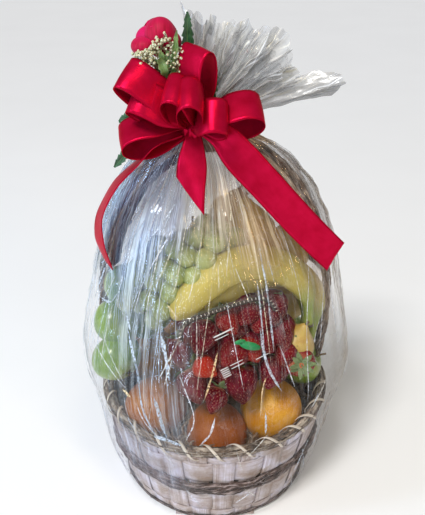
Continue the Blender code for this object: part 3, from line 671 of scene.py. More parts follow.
def pale_cane(finish):
    """A split pale cane inside the twisted vines."""
    pile = Pile()
    inner_vine(pile, 0.290, 0.0066, 0.0026, lambda s: -0.0042, 10, 0.6, 0.10, 41.0)
    return pile.piece("pale_cane", finish, "vine", "wrap")


# Fruit


def fruit_axes(axis, roll):
    axis = Vector(axis).normalized()
    first = axis.orthogonal().normalized()
    turn = Matrix.Rotation(roll, 3, axis)
    first = turn @ first
    return np.array([first, axis.cross(first), axis])


def fruit(pile, profile, centre, size, axis=(0, 0, 1), roll=0.0, tint=0.5, uneven=0.03, rings=30,
          sides=36, lobes=(0, 0.0)):
    """A turned fruit: profile gives radius and height at angles down from the stalk's end."""
    radius, height = profile(np.linspace(0.03, math.pi - 0.03, rings)[:, None])
    turn = even_turns(sides)
    local = polar(turn, radius * (1 + lobes[1] * np.cos(lobes[0] * turn)), height)
    seed = centre[0] * 91 + centre[1] * 57 + centre[2] * 33
    local = local * (1 + uneven * rough(local, 0.9, seed, 2))[..., None]
    loft(pile, (local * size) @ fruit_axes(axis, roll) + np.asarray(centre), local, tint)


def citrus_profile(t):
    dimple = 0.05 * np.exp(-((np.sin(t) / 0.16) ** 2))
    return np.sin(t), 0.93 * np.cos(t) - dimple * np.sign(np.cos(t))


def crisp_profile(t):
    """Round green fruit with a hollow at the stalk and at the flower end."""
    hollow = np.exp(-((np.sin(t) / 0.30) ** 2))
    shoulder = 1 + 0.04 * np.cos(t)
    depth = np.where(np.cos(t) > 0, 0.30, 0.16)
    return np.sin(t) * shoulder, 0.90 * np.cos(t) - depth * hollow * np.sign(np.cos(t))


def pear_profile(t):
    up = np.clip(np.cos(t), 0, 1)
    waist = 1 - 0.50 * smooth_step(0.15, 0.95, up)
    height = np.where(np.cos(t) > 0, 1.45, 0.92) * np.cos(t)
    return np.sin(t) * waist, height


def grape_profile(t):
    return np.sin(t), 1.14 * np.cos(t)


def citrus_finish():
    n = Nodes("citrus_peel")
    local, place = n.local(), n.place()
    pores = n.cells(place, 620.0)
    dots = n.fade(pores, 0.08, 0.40)
    broad = n.noise(place, 30.0, 3.0)
    # deep is a shaded copy of the peel and bright a lit copy up to a painted highlight; the tint picks between
    # them, partly a real difference of tone and partly painted light and shade.
    deep = n.ramp(
        broad, (0.32, (0.26, 0.054, 0.002)), (0.55, (0.36, 0.086, 0.003)), (0.75, (0.48, 0.15, 0.008))
    )
    bright = n.ramp(broad, (0.32, (0.54, 0.20, 0.008)), (0.55, (0.68, 0.30, 0.016)), (0.75, (0.82, 0.43, 0.05)))
    colour = n.mix(n.tint(), deep, bright)
    colour = n.mix(n.fade(dots, 0.6, 0.0, 0.45), colour, (0.28, 0.065, 0.004))
    top = n.split(local)["Z"]
    colour = n.mix(n.fade(top, 0.90, 0.96, 0.8), colour, (0.16, 0.14, 0.03))
    normal = n.bump(n.plus(dots, n.times(broad, 0.6)), 0.8, 0.0009)
    return n.finish(colour, 0.42, normal, Specular_IOR_Level=0.35)


def green_finish():
    n = Nodes("green_peel")
    local, place = n.local(), n.place()
    broad = n.noise(place, 34.0, 2.0)
    dots = n.fade(n.cells(place, 420.0), 0.10, 0.05)
    colour = n.ramp(broad, (0.32, (0.13, 0.25, 0.016)), (0.55, (0.21, 0.33, 0.026)), (0.75, (0.33, 0.42, 0.07)))
    colour = n.mix(n.times(dots, 0.4), colour, (0.70, 0.72, 0.36))
    ends = n.size(n.split(local)["Z"])
    ends = n.ramp(ends, (0.0, 0.0), (0.50, 0.0), (0.62, 0.35), (0.9, 0.2))
    colour = n.mix(n.times(ends, 0.6), colour, (0.36, 0.30, 0.08))
    return n.finish(colour, 0.30, n.bump(broad, 0.2, 0.002), Coat_Weight=0.35, Coat_Roughness=0.15,
                    Subsurface_Weight=0.06, Subsurface_Scale=0.01)


def grape_finish():
    n = Nodes("grape_skin")
    local, place = n.local(), n.place()
    broad = n.noise(local, (2.08, 2.08, 1.28), 2.0)
    veins = n.noise(place, (500, 500, 160), 2.0)
    colour = n.ramp(broad, (0.30, (0.20, 0.27, 0.055)), (0.55, (0.30, 0.37, 0.095)), (0.78, (0.44, 0.49, 0.19)))
    colour = n.mix(n.fade(veins, 0.45, 0.62, 0.25), colour, (0.62, 0.66, 0.34))
    colour = n.mix(n.fade(n.tint(), 0.0, 1.0, 0.5), colour, (0.50, 0.46, 0.16))
    bloom = n.noise(place, 130.0, 3.0)
    return n.finish(colour, n.ramp(bloom, (0.35, 0.22), (0.65, 0.5)), n.bump(bloom, 0.1, 0.001),
                    Subsurface_Weight=0.35, Subsurface_Scale=0.008, Coat_Weight=0.2)


def pear_finish():
    n = Nodes("pear_skin")
    place = n.place()
    broad = n.noise(place, 36.0, 3.0)
    dots = n.fade(n.cells(place, 560.0), 0.16, 0.08)
    golden = n.ramp(broad, (0.34, (0.54, 0.35, 0.06)), (0.55, (0.66, 0.48, 0.12)), (0.72, (0.54, 0.31, 0.07)))
    russet = n.ramp(
        broad, (0.34, (0.20, 0.105, 0.032)), (0.55, (0.31, 0.18, 0.065)), (0.72, (0.17, 0.085, 0.03))
    )
    colour = n.mix(n.tint(), golden, russet)
    colour = n.mix(n.times(dots, 0.5), colour, (0.30, 0.18, 0.05))
    return n.finish(colour, 0.42, n.bump(broad, 0.2, 0.002), Subsurface_Weight=0.05, Subsurface_Scale=0.01)


def banana_finish():
    n = Nodes("banana_peel")
    local, place = n.local(), n.place()
    parts = n.split(local)
    streaks = n.noise(local, (9, 60, 60), 3.0)
    colour = n.ramp(
        streaks, (0.32, (0.44, 0.33, 0.050)), (0.50, (0.52, 0.41, 0.075)), (0.72, (0.60, 0.50, 0.125))
    )
    freckles = n.fade(n.noise(place, 330.0, 2.0), 0.66, 0.72, 0.8)
    near_stalk = n.fade(n.tint(), 0.62, 0.85)
    colour = n.mix(n.times(freckles, n.plus(near_stalk, 0.12)), colour, (0.16, 0.07, 0.02))
    green = n.fade(n.tint(), 0.70, 0.86, 0.9)
    colour = n.mix(green, colour, (0.26, 0.36, 0.05))
    ends = n.ramp(n.tint(), (0.0, 1.0), (0.020, 0.9), (0.045, 0.0))
    colour = n.mix(ends, colour, (0.035, 0.022, 0.012))
    cut = n.fade(n.tint(), 0.975, 0.99)
    colour = n.mix(cut, colour, (0.10, 0.06, 0.03))
    ridge = n.fade(parts["Y"], 0.955, 1.0, 0.5)
    colour = n.mix(n.times(ridge, 0.55), colour, (0.46, 0.32, 0.06))
    return n.finish(colour, 0.42, n.bump(streaks, 0.15, 0.002), Subsurface_Weight=0.08,
                    Subsurface_Scale=0.01)


def banana(pile, stops, thick):
    """A banana from its flower end to its stalk: five soft edges along a curved line."""
    count, sides = 80, 40
    line = spline(tenths(stops), count)
    s = np.linspace(0, 1, count)
    body = np.interp(s, [0, 0.012, 0.035, 0.08, 0.16, 0.30, 0.55, 0.72, 0.80, 0.86, 0.92, 1.0],
                     [0.20, 0.26, 0.30, 0.52, 0.82, 0.98, 1.0, 0.90, 0.66, 0.40, 0.30, 0.36])
    body = np.convolve(np.pad(body, 2, "edge"), np.ones(5) / 5, "valid")
    turns = even_turns(sides)
    edge = 0.5 + 0.5 * np.cos(5 * turns)
    radii = thick * body[:, None] * (1 + 0.075 * (edge**1.5 - 0.4))
    rings = line[:, None] + spokes(*line_axes(line), turns) * radii[..., None]
    loft(pile, rings, stack(s[:, None], edge, turns / TAU * 0.7), np.repeat(s, sides))


def bananas(finish):
    """Each banana's stops, from its flower end to its stalk, and its radius."""
    pile = Pile()
    for stops, thick in (
        ((
            (-500, -880, 2930), (-440, -880, 3020), (-329, -860, 3154), (-141, -800, 3337),
            (80, -740, 3500), (325, -680, 3575), (575, -620, 3550), (821, -560, 3430), (1010, -500, 3240),
            (1125, -460, 3000), (1170, -430, 2760), (1180, -420, 2540),
        ), 0.0205),
        ((
            (-260, -640, 2760), (-108, -620, 2920), (83, -580, 3090), (335, -500, 3230), (592, -400, 3290),
            (844, -300, 3240), (1054, -220, 3110), (1224, -160, 2880), (1300, -140, 2620),
            (1290, -180, 2400), (1240, -240, 2180),
        ), 0.0190),
        ((
            (-200, -200, 3060), (50, -160, 3240), (360, -100, 3330), (680, -20, 3280), (980, 60, 3090),
            (1180, 80, 2780), (1220, 40, 2460), (1180, -40, 2200),
        ), 0.0190),
    ):
        banana(pile, stops, thick)
    return pile.piece("bananas", finish, "banana_peel", "wrap")


def citrus(finish):
    """Three in front as the picture shows, and the rest of the ring round the back."""
    pile = Pile()
    # Each fruit's last number is its tint: the left and middle front fruits take the shaded copy of the peel as
    # painted shade, the right one the lit copy as painted light.
    for k, (*spot, size, tint) in enumerate((
        (-766, -600, 1370, 415, 0.25), (30, -915, 1180, 405, 0.02), (740, -640, 1330, 415, 1.0),
        (-860, 420, 1400, 410, 0.5), (300, 900, 1380, 415, 0.3), (-400, 880, 1420, 405, 0.7),
    )):
        axis = (math.sin(k * 2.3), 0.5 * math.cos(k * 1.7) - 0.2, 0.6 + 0.4 * math.sin(k))
        fruit(pile, citrus_profile, tenths(spot), tenths(size), axis, k, tint, 0.035, 40, 52)
    return pile.piece("citrus_fruit", finish, "citrus_peel", "wrap")


def calyx(pile, centre, axis, size, open_by, seed):
    """A small dry star of sepals at a fruit's end."""
    draw = random.Random(seed)
    axes = fruit_axes(axis, seed)
    t = np.linspace(0, 1, 7)
    for k in range(5):
        turn = TAU * k / 5 + draw.uniform(-0.15, 0.15)
        way = axes[0] * math.cos(turn) + axes[1] * math.sin(turn)
        line = centre + np.outer(t * size * open_by, way)
        line = line + np.outer(size * (1.1 - open_by) * t + 0.25 * size * np.sin(t * 3), axes[2])
        sweep(pile, line, size * 0.28 * np.sin(np.pi * np.clip(t * 0.9 + 0.1, 0, 0.97)), 5, 0.2, 0, k)


def stalk(pile, spot, axis, low, high, bend, radii, lump, seed, count):
    """A fruit's stalk, from low to high along its axis, bent to one side."""
    t = np.linspace(0, 1, count)
    line = spot + np.outer(blend(low, high, t), Vector(axis).normalized()) + np.outer(t**2, bend)
    sweep(pile, line, blend(*radii, t), 6, 0.3, lump, seed)


def green_fruit(finish, dry):
    pile, ends = Pile(), Pile()
    for k, (*spot, size, axis) in enumerate((
        (-1270, -450, 2050, 330, (-0.5, 0.5, 0.4)), (-1255, -300, 2510, 300, (-0.55, 0.62, -0.55)),
        (-1110, -220, 2990, 290, (0.2, -0.2, 1.0)), (-930, 380, 2140, 350, (-0.6, 0.3, 0.6)),
        (980, 560, 1750, 360, (0.6, 0.7, 0.4)), (-260, 760, 2160, 360, (0.1, 0.8, 0.4)),
        (1160, -60, 1720, 330, (0.9, -0.2, 0.4)),
    )):
        spot, size = tenths(spot), tenths(size)
        fruit(pile, crisp_profile, spot, size, axis, k, 0.5, 0.03, 40, 48, (5, 0.012))
        down = -np.array(Vector(axis).normalized())
        calyx(ends, spot + down * size * 0.76, down, size * 0.20, 0.6, k)
        stalk(ends, spot, axis, size * 0.6, size * 1.12, (0.0012, 0, 0), (0.0013, 0.0013), 0, k, 6)
    pile.piece("green_fruit", finish, "green_peel", "wrap")
    return ends.piece("green_fruit_ends", dry, "paper_filler", "wrap")


def pears(finish, dry):
    pile, stalks = Pile(), Pile()
    for k, (*spot, size, axis, tint) in enumerate((
        (450, 120, 3560, 330, (-0.15, 0.1, 1.0), 0.15), (880, 160, 3260, 330, (0.25, 0.05, 1.0), 0.35),
        (200, 300, 3740, 270, (0.3, -0.05, 1.0), 0.9), (960, 520, 2350, 340, (0.5, 0.3, 1.0), 0.3),
        (980, -680, 2420, 250, (0.35, -0.2, 1.0), 0.3), (-120, 560, 3000, 350, (-0.4, 0.3, 1.0), 0.3),
        (380, 800, 2350, 370, (0.2, 0.6, 0.8), 0.3), (-680, 420, 2800, 340, (-0.4, 0.2, 1.0), 0.3),
    )):
        spot, size = tenths(spot), tenths(size)
        fruit(pile, pear_profile, spot, size, axis, k, tint, 0.05, 40, 44)
        stalk(stalks, spot, axis, size * 1.36, size * 1.62, (0.003, 0.002, 0), (0.0012, 0.0017), 0.1, k, 8)
    pile.piece("pears", finish, "pear_skin", "wrap")
    return stalks.piece("pear_stalks", dry, "paper_filler", "wrap")


def grape_places():
    """The grapes that show in front, then a seeded heap behind and below them."""
    places = list(tenths((
        (34, -460, 3897), (-223, -520, 3822), (-1, -640, 3832), (225, -400, 3760), (-457, -580, 3709),
        (-105, -720, 3646), (-326, -680, 3659), (129, -560, 3631), (-576, -640, 3494), (-255, -790, 3462),
        (-454, -770, 3469), (-702, -640, 3309), (-527, -800, 3256), (-367, -740, 3245), (-781, -660, 3068),
        (-616, -800, 3018), (-800, -500, 3490), (-464, -760, 3036), (-131, -320, 3890), (-655, -440, 3677),
    )))
    draw = random.Random(8)
    for _ in range(8000):
        if len(places) == GRAPES:
            break
        t = draw.random()
        spot = (
            blend(-0.082, 0.012, t) + draw.uniform(-0.030, 0.030),
            -0.024 + draw.uniform(-0.040, 0.034),
            blend(0.292, 0.380, t) + draw.uniform(-0.030, 0.030) * 0.8,
        )
        if spot[1] < -0.078 + 0.5 * max(0.0, spot[2] - 0.31) or spot[2] + 0.55 * spot[1] > 0.352:
            continue
        if all((Vector(spot) - Vector(p)).length > 0.0225 for p in places):
            places.append(spot)
    return places


def grapes(finish, dry):
    pile, stems = Pile(), Pile()
    draw = random.Random(12)
    heart = Vector((-0.034, -0.030, 0.350))
    for k, spot in enumerate(grape_places()):
        spot = Vector(spot)
        size = draw.uniform(0.0126, 0.0140)
        away = (spot - heart).normalized()
        axis = away + Vector([draw.uniform(-0.5, 0.5) for _ in range(3)])
        fruit(pile, grape_profile, spot, size, -axis, k, draw.random(), 0.02, 16, 22)
        sweep(stems, straight(spot - away * size * 0.9, spot.lerp(heart, 0.55), 6), 0.0008, 5, 0.8, 0, k)
    pile.piece("grapes", finish, "grape_skin", "wrap")
    return stems.piece("grape_stems", dry, "stem_green", "wrap")


# Corners of each face of a berry's seed
SEED_FACES = np.array([(0, 1, 4), (1, 2, 4), (2, 3, 4), (3, 0, 4), (1, 0, 5), (2, 1, 5), (3, 2, 5), (0, 3, 5)])


def berry(skins, seeds, leaves, centre, length, width, axis, tint, seed):
    """One berry: a skin with a shallow dimple round each seed, the seeds, nine leaves and a stalk."""
    draw = random.Random(seed)
    rings, sides = 38, 42
    t = np.linspace(0.02, 1, rings)[:, None]
    skin = polar(even_turns(sides), width / 2 * np.sin(np.pi * t**0.62) ** 0.72, length * (0.5 - t))
    skin[..., 1] *= 1 + 0.10 * math.sin(seed * 1.9)
    skin = skin * (1 + 0.06 * rough(skin, 45.0, seed, 2))[..., None]
    order = np.arange(BERRY_SEEDS)
    golden = math.pi * (3 - math.sqrt(5))
    row = (blend(0.10, 0.97, (order + 0.5) / BERRY_SEEDS) * (rings - 1)).astype(int)
    col = ((golden * order / TAU % 1) * sides).astype(int)
    spots = skin[row, col]
    near = np.linalg.norm(skin[:, :, None] - spots, axis=-1).min(axis=-1)
    dent = 0.0008 * np.exp(-((near / 0.0011) ** 2)) - 0.00025 * np.exp(-(((near - 0.0021) / 0.0009) ** 2))
    squat = np.array([1, 1, 0.35])
    skin = skin - unit(skin * squat) * dent[..., None]
    axes = fruit_axes(axis, seed * 0.7)
    loft(skins, skin @ axes + centre, stack(near * 1000, skin[..., 2] / length, seed * 0.1), tint)
    for spot in spots:
        way = unit(spot * squat)
        down = unit(way * way[2] - UP)
        side = np.cross(way, down)
        corners = np.array([
            down * 0.0010, side * 0.0005, -down * 0.0010, -side * 0.0005, way * 0.0006, -way * 0.0004,
        ])
        seeds.add((spot - way * 0.0005 + corners) @ axes + centre, SEED_FACES, None, draw.random())
    top = centre + axes[2] * length * 0.46
    t = np.linspace(0, 1, 9)
    half = 0.0036 * np.sin(np.pi * np.clip(t * 0.92 + 0.06, 0, 0.985)) ** 0.8
    for k in range(9):
        turn = TAU * k / 9 + draw.uniform(-0.2, 0.2)
        way = axes[0] * math.cos(turn) + axes[1] * math.sin(turn)
        reach = width * draw.uniform(0.40, 0.56)
        rise = reach * draw.uniform(-0.15, 0.55) * t**1.6 + 0.0016 * np.sin(3 * t)
        line = top + np.outer(reach * t, way) + np.outer(rise, axes[2])
        blade = strip_rings(line, axes[2], np.cross(axes[2], way), half, 0.0005, 5, -0.0005)
        loft(leaves, blade, None, draw.random())
    sweep(leaves, top + np.outer(np.linspace(0, 0.008, 5), axes[2]), 0.0010, 6, 0.6, 0, seed)


def berry_finish():
    n = Nodes("berry_skin")
    parts = n.split(n.local())
    place = n.place()
    broad = n.noise(place, 70.0, 2.0)
    colour = n.ramp(broad, (0.35, (0.045, 0.0006, 0.004)), (0.65, (0.120, 0.0014, 0.012)))
    pale = n.fade(n.tint(), 0.0, 1.0, 0.85)
    colour = n.mix(pale, colour, (0.52, 0.030, 0.008))
    pit = n.fade(n.times(parts["X"], 0.25), 0.34, 0.0)
    colour = n.mix(n.times(pit, 0.30), colour, (0.24, 0.008, 0.010))
    shoulder = n.fade(parts["Y"], 0.36, 0.50, 0.7)
    colour = n.mix(shoulder, colour, (0.60, 0.22, 0.10))
    return n.finish(colour, 0.28, n.bump(broad, 0.1, 0.001), Specular_IOR_Level=0.12)


def simple_finish(name, low, high, scale, roughness, bump=0.3):
    """A finish whose colour runs between two shades over a noise at real scale."""
    n = Nodes(name)
    grain = n.noise(n.place(), scale)
    colour = n.ramp(grain, (0.35, low), (0.65, high))
    colour = n.mix(n.fade(n.tint(), 0.0, 1.0, 0.4), colour, high)
    return n.finish(colour, roughness, n.bump(grain, bump, 0.0008))


def berries():
    """Berries in the tub: those that show through its lid, then a back layer."""
    skins, seeds, leaves = Pile(), Pile(), Pile()
    middle, _, _, out = tub_axes()
    rows = (
        (202, -155, -940, 2690, 440, 380, (0.25, 0.8, 0.6), 0.05),
        (228, 166, -880, 2871, 340, 300, (-0.5, 0.7, 0.5), 0.3),
        (246, 380, -820, 2960, 340, 300, (0.5, 0.7, 0.5), 0.1),
        (258, 530, -800, 2820, 340, 310, (0.2, 0.9, 0.3), 0.15),
        (275, 705, -800, 2975, 380, 320, (0.1, 0.8, 0.5), 0.05),
        (283, 810, -860, 2669, 380, 320, (-0.3, 0.8, 0.6), 0.1),
        (232, 204, -1000, 2490, 400, 360, (0.6, 0.7, 0.3), 0.2),
        (181, -414, -880, 2416, 400, 340, (-0.2, 0.7, 0.7), 0.05),
        (250, 440, -980, 2540, 360, 320, (-0.5, 0.8, 0.4), 0.45),
        (207, -108, -1060, 2342, 320, 300, (-0.8, 0.5, 0.3), 0.8),
        (190, -257, -1040, 2040, 460, 380, (-0.4, 0.7, 0.7), 0.1),
        (242, 315, -1120, 2131, 500, 430, (-0.1, 0.62, 0.8), 0.05),
        (214, 0, -1160, 1920, 340, 310, (0.3, 0.7, 0.6), 0.05),
        (265, 700, -980, 2200, 420, 370, (0.3, 0.7, 0.6), 0.05),
        (279, 850, -920, 2420, 340, 310, (0.6, 0.6, 0.5), 0.15),
        (302, 1030, -840, 2290, 360, 360, (0.1, -0.95, 0.3), 0.3),
        (222, 70, -800, 2400, 400, 340, (0.4, 0.8, 0.3), 0.1),
        (262, 620, -800, 2560, 400, 340, (-0.4, 0.8, 0.3), 0.1),
        (240, 260, -780, 2740, 380, 340, (0.4, 0.8, 0.3), 0.1),
        (198, -300, -800, 2680, 360, 320, (0.4, 0.8, 0.3), 0.1),
        (210, 90, -940, 2180, 360, 320, (-0.4, 0.8, 0.3), 0.1),
    )
    for seed, *spot, length, width, axis, tint in rows:
        spot, length, width = tenths(spot), tenths(length), tenths(width)
        if spot[0] < 0.095:
            ray = unit(spot - np.array(CAMERA_PLACE))
            depth = (spot - middle) @ out
            spot = spot + ray * max(0.0, (depth + width * 0.46 - 0.002) / -(ray @ out))
        berry(skins, seeds, leaves, spot, length, width, axis, tint, seed)
    for _, x, y, z, *_ in rows:
        fruit(skins, citrus_profile, tenths((x, y + 200, z)), 0.019, (0, 1, 0.3), 0.0, 0.0, 0.05, 10, 12)
    skins.piece("berry_skins", berry_finish(), "berry_skin", "wrap")
    pale = simple_finish("berry_seed", (0.30, 0.08, 0.04), (0.50, 0.26, 0.13), 900.0, 0.45, 0.1)
    seeds.piece("berry_seeds", pale, "berry_skin", "wrap")
    green = simple_finish("berry_leaf", (0.06, 0.10, 0.03), (0.20, 0.25, 0.10), 500.0, 0.6)
    return leaves.piece("berry_leaves", green, "leaf_green", "wrap")


def clear_finish(name, tint, haze):
    """Clear thin plastic: see-through, brighter at a slant, and whiter along its flange and ribs where the tint
    is 1, as a painted highlight.
    """
    n = Nodes(name)
    edge = n.maths("POWER", n.facing(0.35), 3.0)
    smears = n.noise(n.place(), 60.0)
    alpha = n.plus(n.times(edge, 0.30), n.times(n.ramp(smears, (0.5, 0.4), (0.7, 1.0)), haze))
    alpha = n.plus(alpha, n.times(n.tint(), 0.12), True)
    return n.finish(tint, 0.10, n.bump(smears, 0.2, 0.002), Metallic=0.75, Alpha=alpha)


def tub_axes():
    """Middle of the tub's lid, and its directions across, up and out."""
    across = unit(np.array([0.947, 0.243, 0.210]))
    out = unit(np.array([0.182, -0.944, 0.269]))
    out = unit(out - across * (out @ across))
    up = np.cross(out, across)
    up = up if up[2] > 0 else -up
    return np.array([0.0290, -0.1105, 0.2440]), across, up, out


def tub(finish):
    """The berries' clear tub, standing on end: ribbed walls, a flange with ticks and a shallow lid."""
    centre, across, up, out = tub_axes()
    sides = 240

    def outline(shrink):
        turn = even_turns(sides)
        x = signed_power(np.cos(turn), 0.30) * (TUB_HALF_WIDTH - shrink)
        return x, signed_power(np.sin(turn), 0.30) * (TUB_HALF_HEIGHT - shrink)

    def at(x, y, depth):
        return centre + np.outer(x, across) + np.outer(y, up) + out * depth

    rings, rib_highlights = [], []
    ribbed = np.sign(np.sin(np.arange(sides) * TAU / 4))
    # The last number of each ring is its tint, a painted highlight that makes the flange and ribs whiter; it is
    # kept to the upper part of the lid.
    for depth, shrink, ribs, tint in (
        (0.0035, 0.050, 0, 0.0), (0.0045, 0.022, 0, 0.0), (0.0045, 0.014, 0, 0.05), (0.0030, 0.0120, 1, 0.3),
        (0.0030, 0.0090, 1, 0.3), (0.0, 0.0070, 0, 0.3), (0.0, 0.0, 0, 0.9), (-0.0012, 0.0, 0, 0.9),
        (-0.0012, 0.0060, 0, 0.2), (-0.006, 0.0075, 1, 0.1), (-0.020, 0.0095, 1, 0.0), (-0.040, 0.0130, 1, 0.0),
        (-0.054, 0.0170, 1, 0.0), (-0.058, 0.0230, 0, 0.0), (-0.058, 0.050, 0, 0.0),
    ):
        x, y = outline(shrink)
        size = 1 + 0.0011 * ribs * ribbed / TUB_HALF_WIDTH
        rings.append(at(x * size, y * size, depth))
        rib_highlights.append(tint * smooth_step(-0.03, 0.04, y))
    walls, ticks, edge = Pile(), Pile(), Pile()
    walls.add(rings, grid_faces(len(rings), sides, False, True), None, np.concatenate(rib_highlights))
    # Ticks on the flange are real ribs, given an opaque pale colour that paints the glints of clear plastic.
    x, y = outline(0.0035)
    steps = run_length(np.stack([x, y], axis=1))
    places = np.arange(0, steps[-1], 0.0024)
    for place in places[np.interp(places, steps, y) > 0.05][::2]:
        a, b = np.interp(place, steps, x), np.interp(place, steps, y)
        side = up if abs(a) / TUB_HALF_WIDTH < abs(b) / TUB_HALF_HEIGHT else across
        sweep(ticks, at(a, b, 0.0032) + np.outer(0.0013 * np.linspace(-1, 1, 4), side), 0.00045, 6, 0.5)
    tick = simple_finish("tub_tick", (0.50, 0.42, 0.38), (0.74, 0.68, 0.62), 900.0, 0.4, 0.1)
    ticks.piece("tub_ticks", tick, "clear_tub", "wrap")
    # A nearly black rod along the upper edge of the lid: painted shade where the clear edge looks dark.
    x, y = outline(0.0050)
    sweep(edge, at(x, y, 0.0004)[y > 0.05], 0.0026, 6, 0.5)
    dark = simple_finish("tub_edge_painted_shade", (0.010, 0.006, 0.005), (0.05, 0.03, 0.02), 700.0, 0.6, 0.1)
    edge.piece("tub_edge_painted_shade", dark, "clear_tub", "wrap")
    return walls.piece("berry_tub", finish, "clear_tub", "wrap")


def tub_print(white, green):
    """Plain bars and a green oval where the tub's lid is printed."""
    centre, across, up, out = tub_axes()
    lean = math.radians(8)
    along = across * math.cos(lean) + up * math.sin(lean)
    rise = np.cross(out, along)
    rise = rise if rise @ up > 0 else -rise

    def flat_oval(pile, a, b, half_a, half_b, power=0.3, degrees=0.0):
        t, turn = even_turns(28), math.radians(degrees)
        x, y = signed_power(np.cos(t), power) * half_a, signed_power(np.sin(t), power) * half_b
        x, y = x * math.cos(turn) - y * math.sin(turn), x * math.sin(turn) + y * math.cos(turn)
        ring = centre + np.outer(a + x, along) + np.outer(b + y, rise)
        loft(pile, np.stack([ring + out * 0.0052, ring + out * 0.0055]), None, 0.5)

    bars, oval = Pile(), Pile()
    for row in range(5):
        flat_oval(bars, -0.0190, 0.0050 - 0.0026 * row, 0.0052, 0.0007)
    for bar in ((-30, 52, 85, 5), (-30, 10, 85, 5), (-20, 465, 130, 9), (-60, 425, 90, 5), (280, -20, 85, 5)):
        flat_oval(bars, *tenths(bar))
    flat_oval(oval, 0.0200, 0.0170, 0.0135, 0.0050, 1.0, -40)
    flat_oval(oval, 0.0110, 0.0270, 0.0070, 0.0030, 1.0, -15)
    bars.piece("tub_bars", white, "clear_tub", "wrap")
    return oval.piece("tub_oval", green, "leaf_green", "wrap")


def filler(finish):
    """Crumpled paper that the fruit sits in, with loose shreds on top."""
    pile = Pile()
    draw = random.Random(44)
    share = np.linspace(0.02, 1, 32)[:, None]
    top = polar(even_turns(120), 0.1385 * share)
    top[..., 2] = 0.112 + 0.012 * rough(top, 55.0, 3.3, 4) - 0.01 * share**4
    under = []
    for depth, size in ((0.010, 1.0), (0.06, 0.93), (0.097, 0.86)):
        under.append(top[-1] * np.array([size, size, 0]) + UP * (0.1085 - depth))
    loft(pile, np.concatenate([top, under]), None, 0.3)
    t = np.linspace(-1, 1, 14)
    for _ in range(200):
        angle, reach = draw.uniform(0, TAU), draw.uniform(0.085, 0.130)
        spot = polar(angle, reach, draw.uniform(0.116, 0.132))
        way = unit([draw.uniform(-1, 1), draw.uniform(-1, 1), draw.uniform(-0.25, 0.25)])
        side = unit(np.cross(way, UP))
        length = draw.uniform(0.012, 0.028)
        line = spot + np.outer(t * length, way) + np.outer(0.004 * np.sin(t * draw.uniform(2, 5)), side)
        line[:, 2] += 0.003 * np.cos(t * draw.uniform(2, 6))
        line[:, :2] *= np.minimum(1, 0.1345 / np.linalg.norm(line[:, :2], axis=1))[:, None]
        strip = strip_rings(line, UP, side, draw.uniform(0.0008, 0.0015), 0.0003, 3)
        loft(pile, strip, None, draw.random())
    return pile.piece("paper_filler", finish, "paper_filler", "wrap")


# Film

FILM_CLEAR = 0.004
# Places where the film hides what lies behind it, partly thick gathered film and partly a painted sheen of
# reflected light: angle in degrees, height in mm, the half spread of each, and cover in percent
COVER_AND_SHEEN = (
    (-115, 422, 11, 44, 97), (-152, 405, 9, 55, 72), (-131, 405, 15, 80, 94), (-138, 335, 12, 50, 78),
    (-126, 285, 13, 50, 66), (-152, 360, 9, 50, 45), (-119, 225, 12, 50, 42), (-107, 205, 6, 50, 50),
    (-148, 225, 14, 50, 20), (-88, 440, 22, 50, 90), (-90, 395, 11, 22, 44), (-64, 400, 15, 45, 78),
    (-45, 440, 16, 35, 55), (-164, 400, 9, 70, 62), (-148, 360, 9, 60, 62), (-134, 118, 20, 36, 62),
    (-114, 95, 11, 34, 42), (-150, 60, 20, 40, 35), (-30, 290, 6, 60, 45), (-14, 330, 9, 60, 45),
    (20, 400, 26, 70, 60), (60, 430, 34, 60, 78), (110, 430, 34, 60, 78), (160, 410, 22, 70, 75),
    (-6, 220, 13, 100, 55), (-14, 110, 14, 55, 42), (-172, 200, 10, 50, 35), (75, 300, 16, 60, 40),
    (125, 260, 14, 70, 45), (35, 240, 14, 60, 35), (95, 120, 26, 40, 35), (170, 90, 20, 40, 30),
    (-65, 442, 7, 24, 80), (-36, 350, 8, 40, 62), (-42, 390, 8, 30, 60),
)
# Form of the smooth film: height, middle, half widths to -X, +X, -Y and +Y in tenths of a mm, and roundness
FILM_FORM = np.array((
    (8, 0, 0, 1325, 1325, 1325, 1325, 2.0), (300, 0, 0, 1390, 1395, 1380, 1385, 2.0),
    (700, 0, 0, 1505, 1505, 1485, 1490, 2.0), (1100, 0, 0, 1560, 1570, 1510, 1530, 2.0),
    (1365, 0, 0, 1590, 1610, 1555, 1565, 2.0), (1600, 0, 0, 1650, 1700, 1585, 1590, 2.0),
    (2000, 0, 0, 1725, 1770, 1600, 1600, 2.0), (2500, 0, 0, 1665, 1690, 1440, 1460, 2.0),
    (3000, 0, 0, 1545, 1590, 1225, 1290, 1.95), (3500, 0, 0, 1430, 1480, 1035, 1030, 1.85),
    (4000, -10, 0, 1265, 1300, 800, 740, 1.7), (4400, -20, 0, 1050, 1080, 560, 510, 1.55),
    (4700, -50, -20, 810, 830, 420, 380, 1.5), (4900, -110, -60, 520, 570, 320, 280, 1.6),
    (5010, -180, -100, 300, 340, 210, 200, 1.8), (5080, -215, -120, 150, 155, 140, 140, 2.0),
    (5200, -220, -120, 110, 110, 110, 110, 2.0),
)) / ([10000] * 7 + [1])
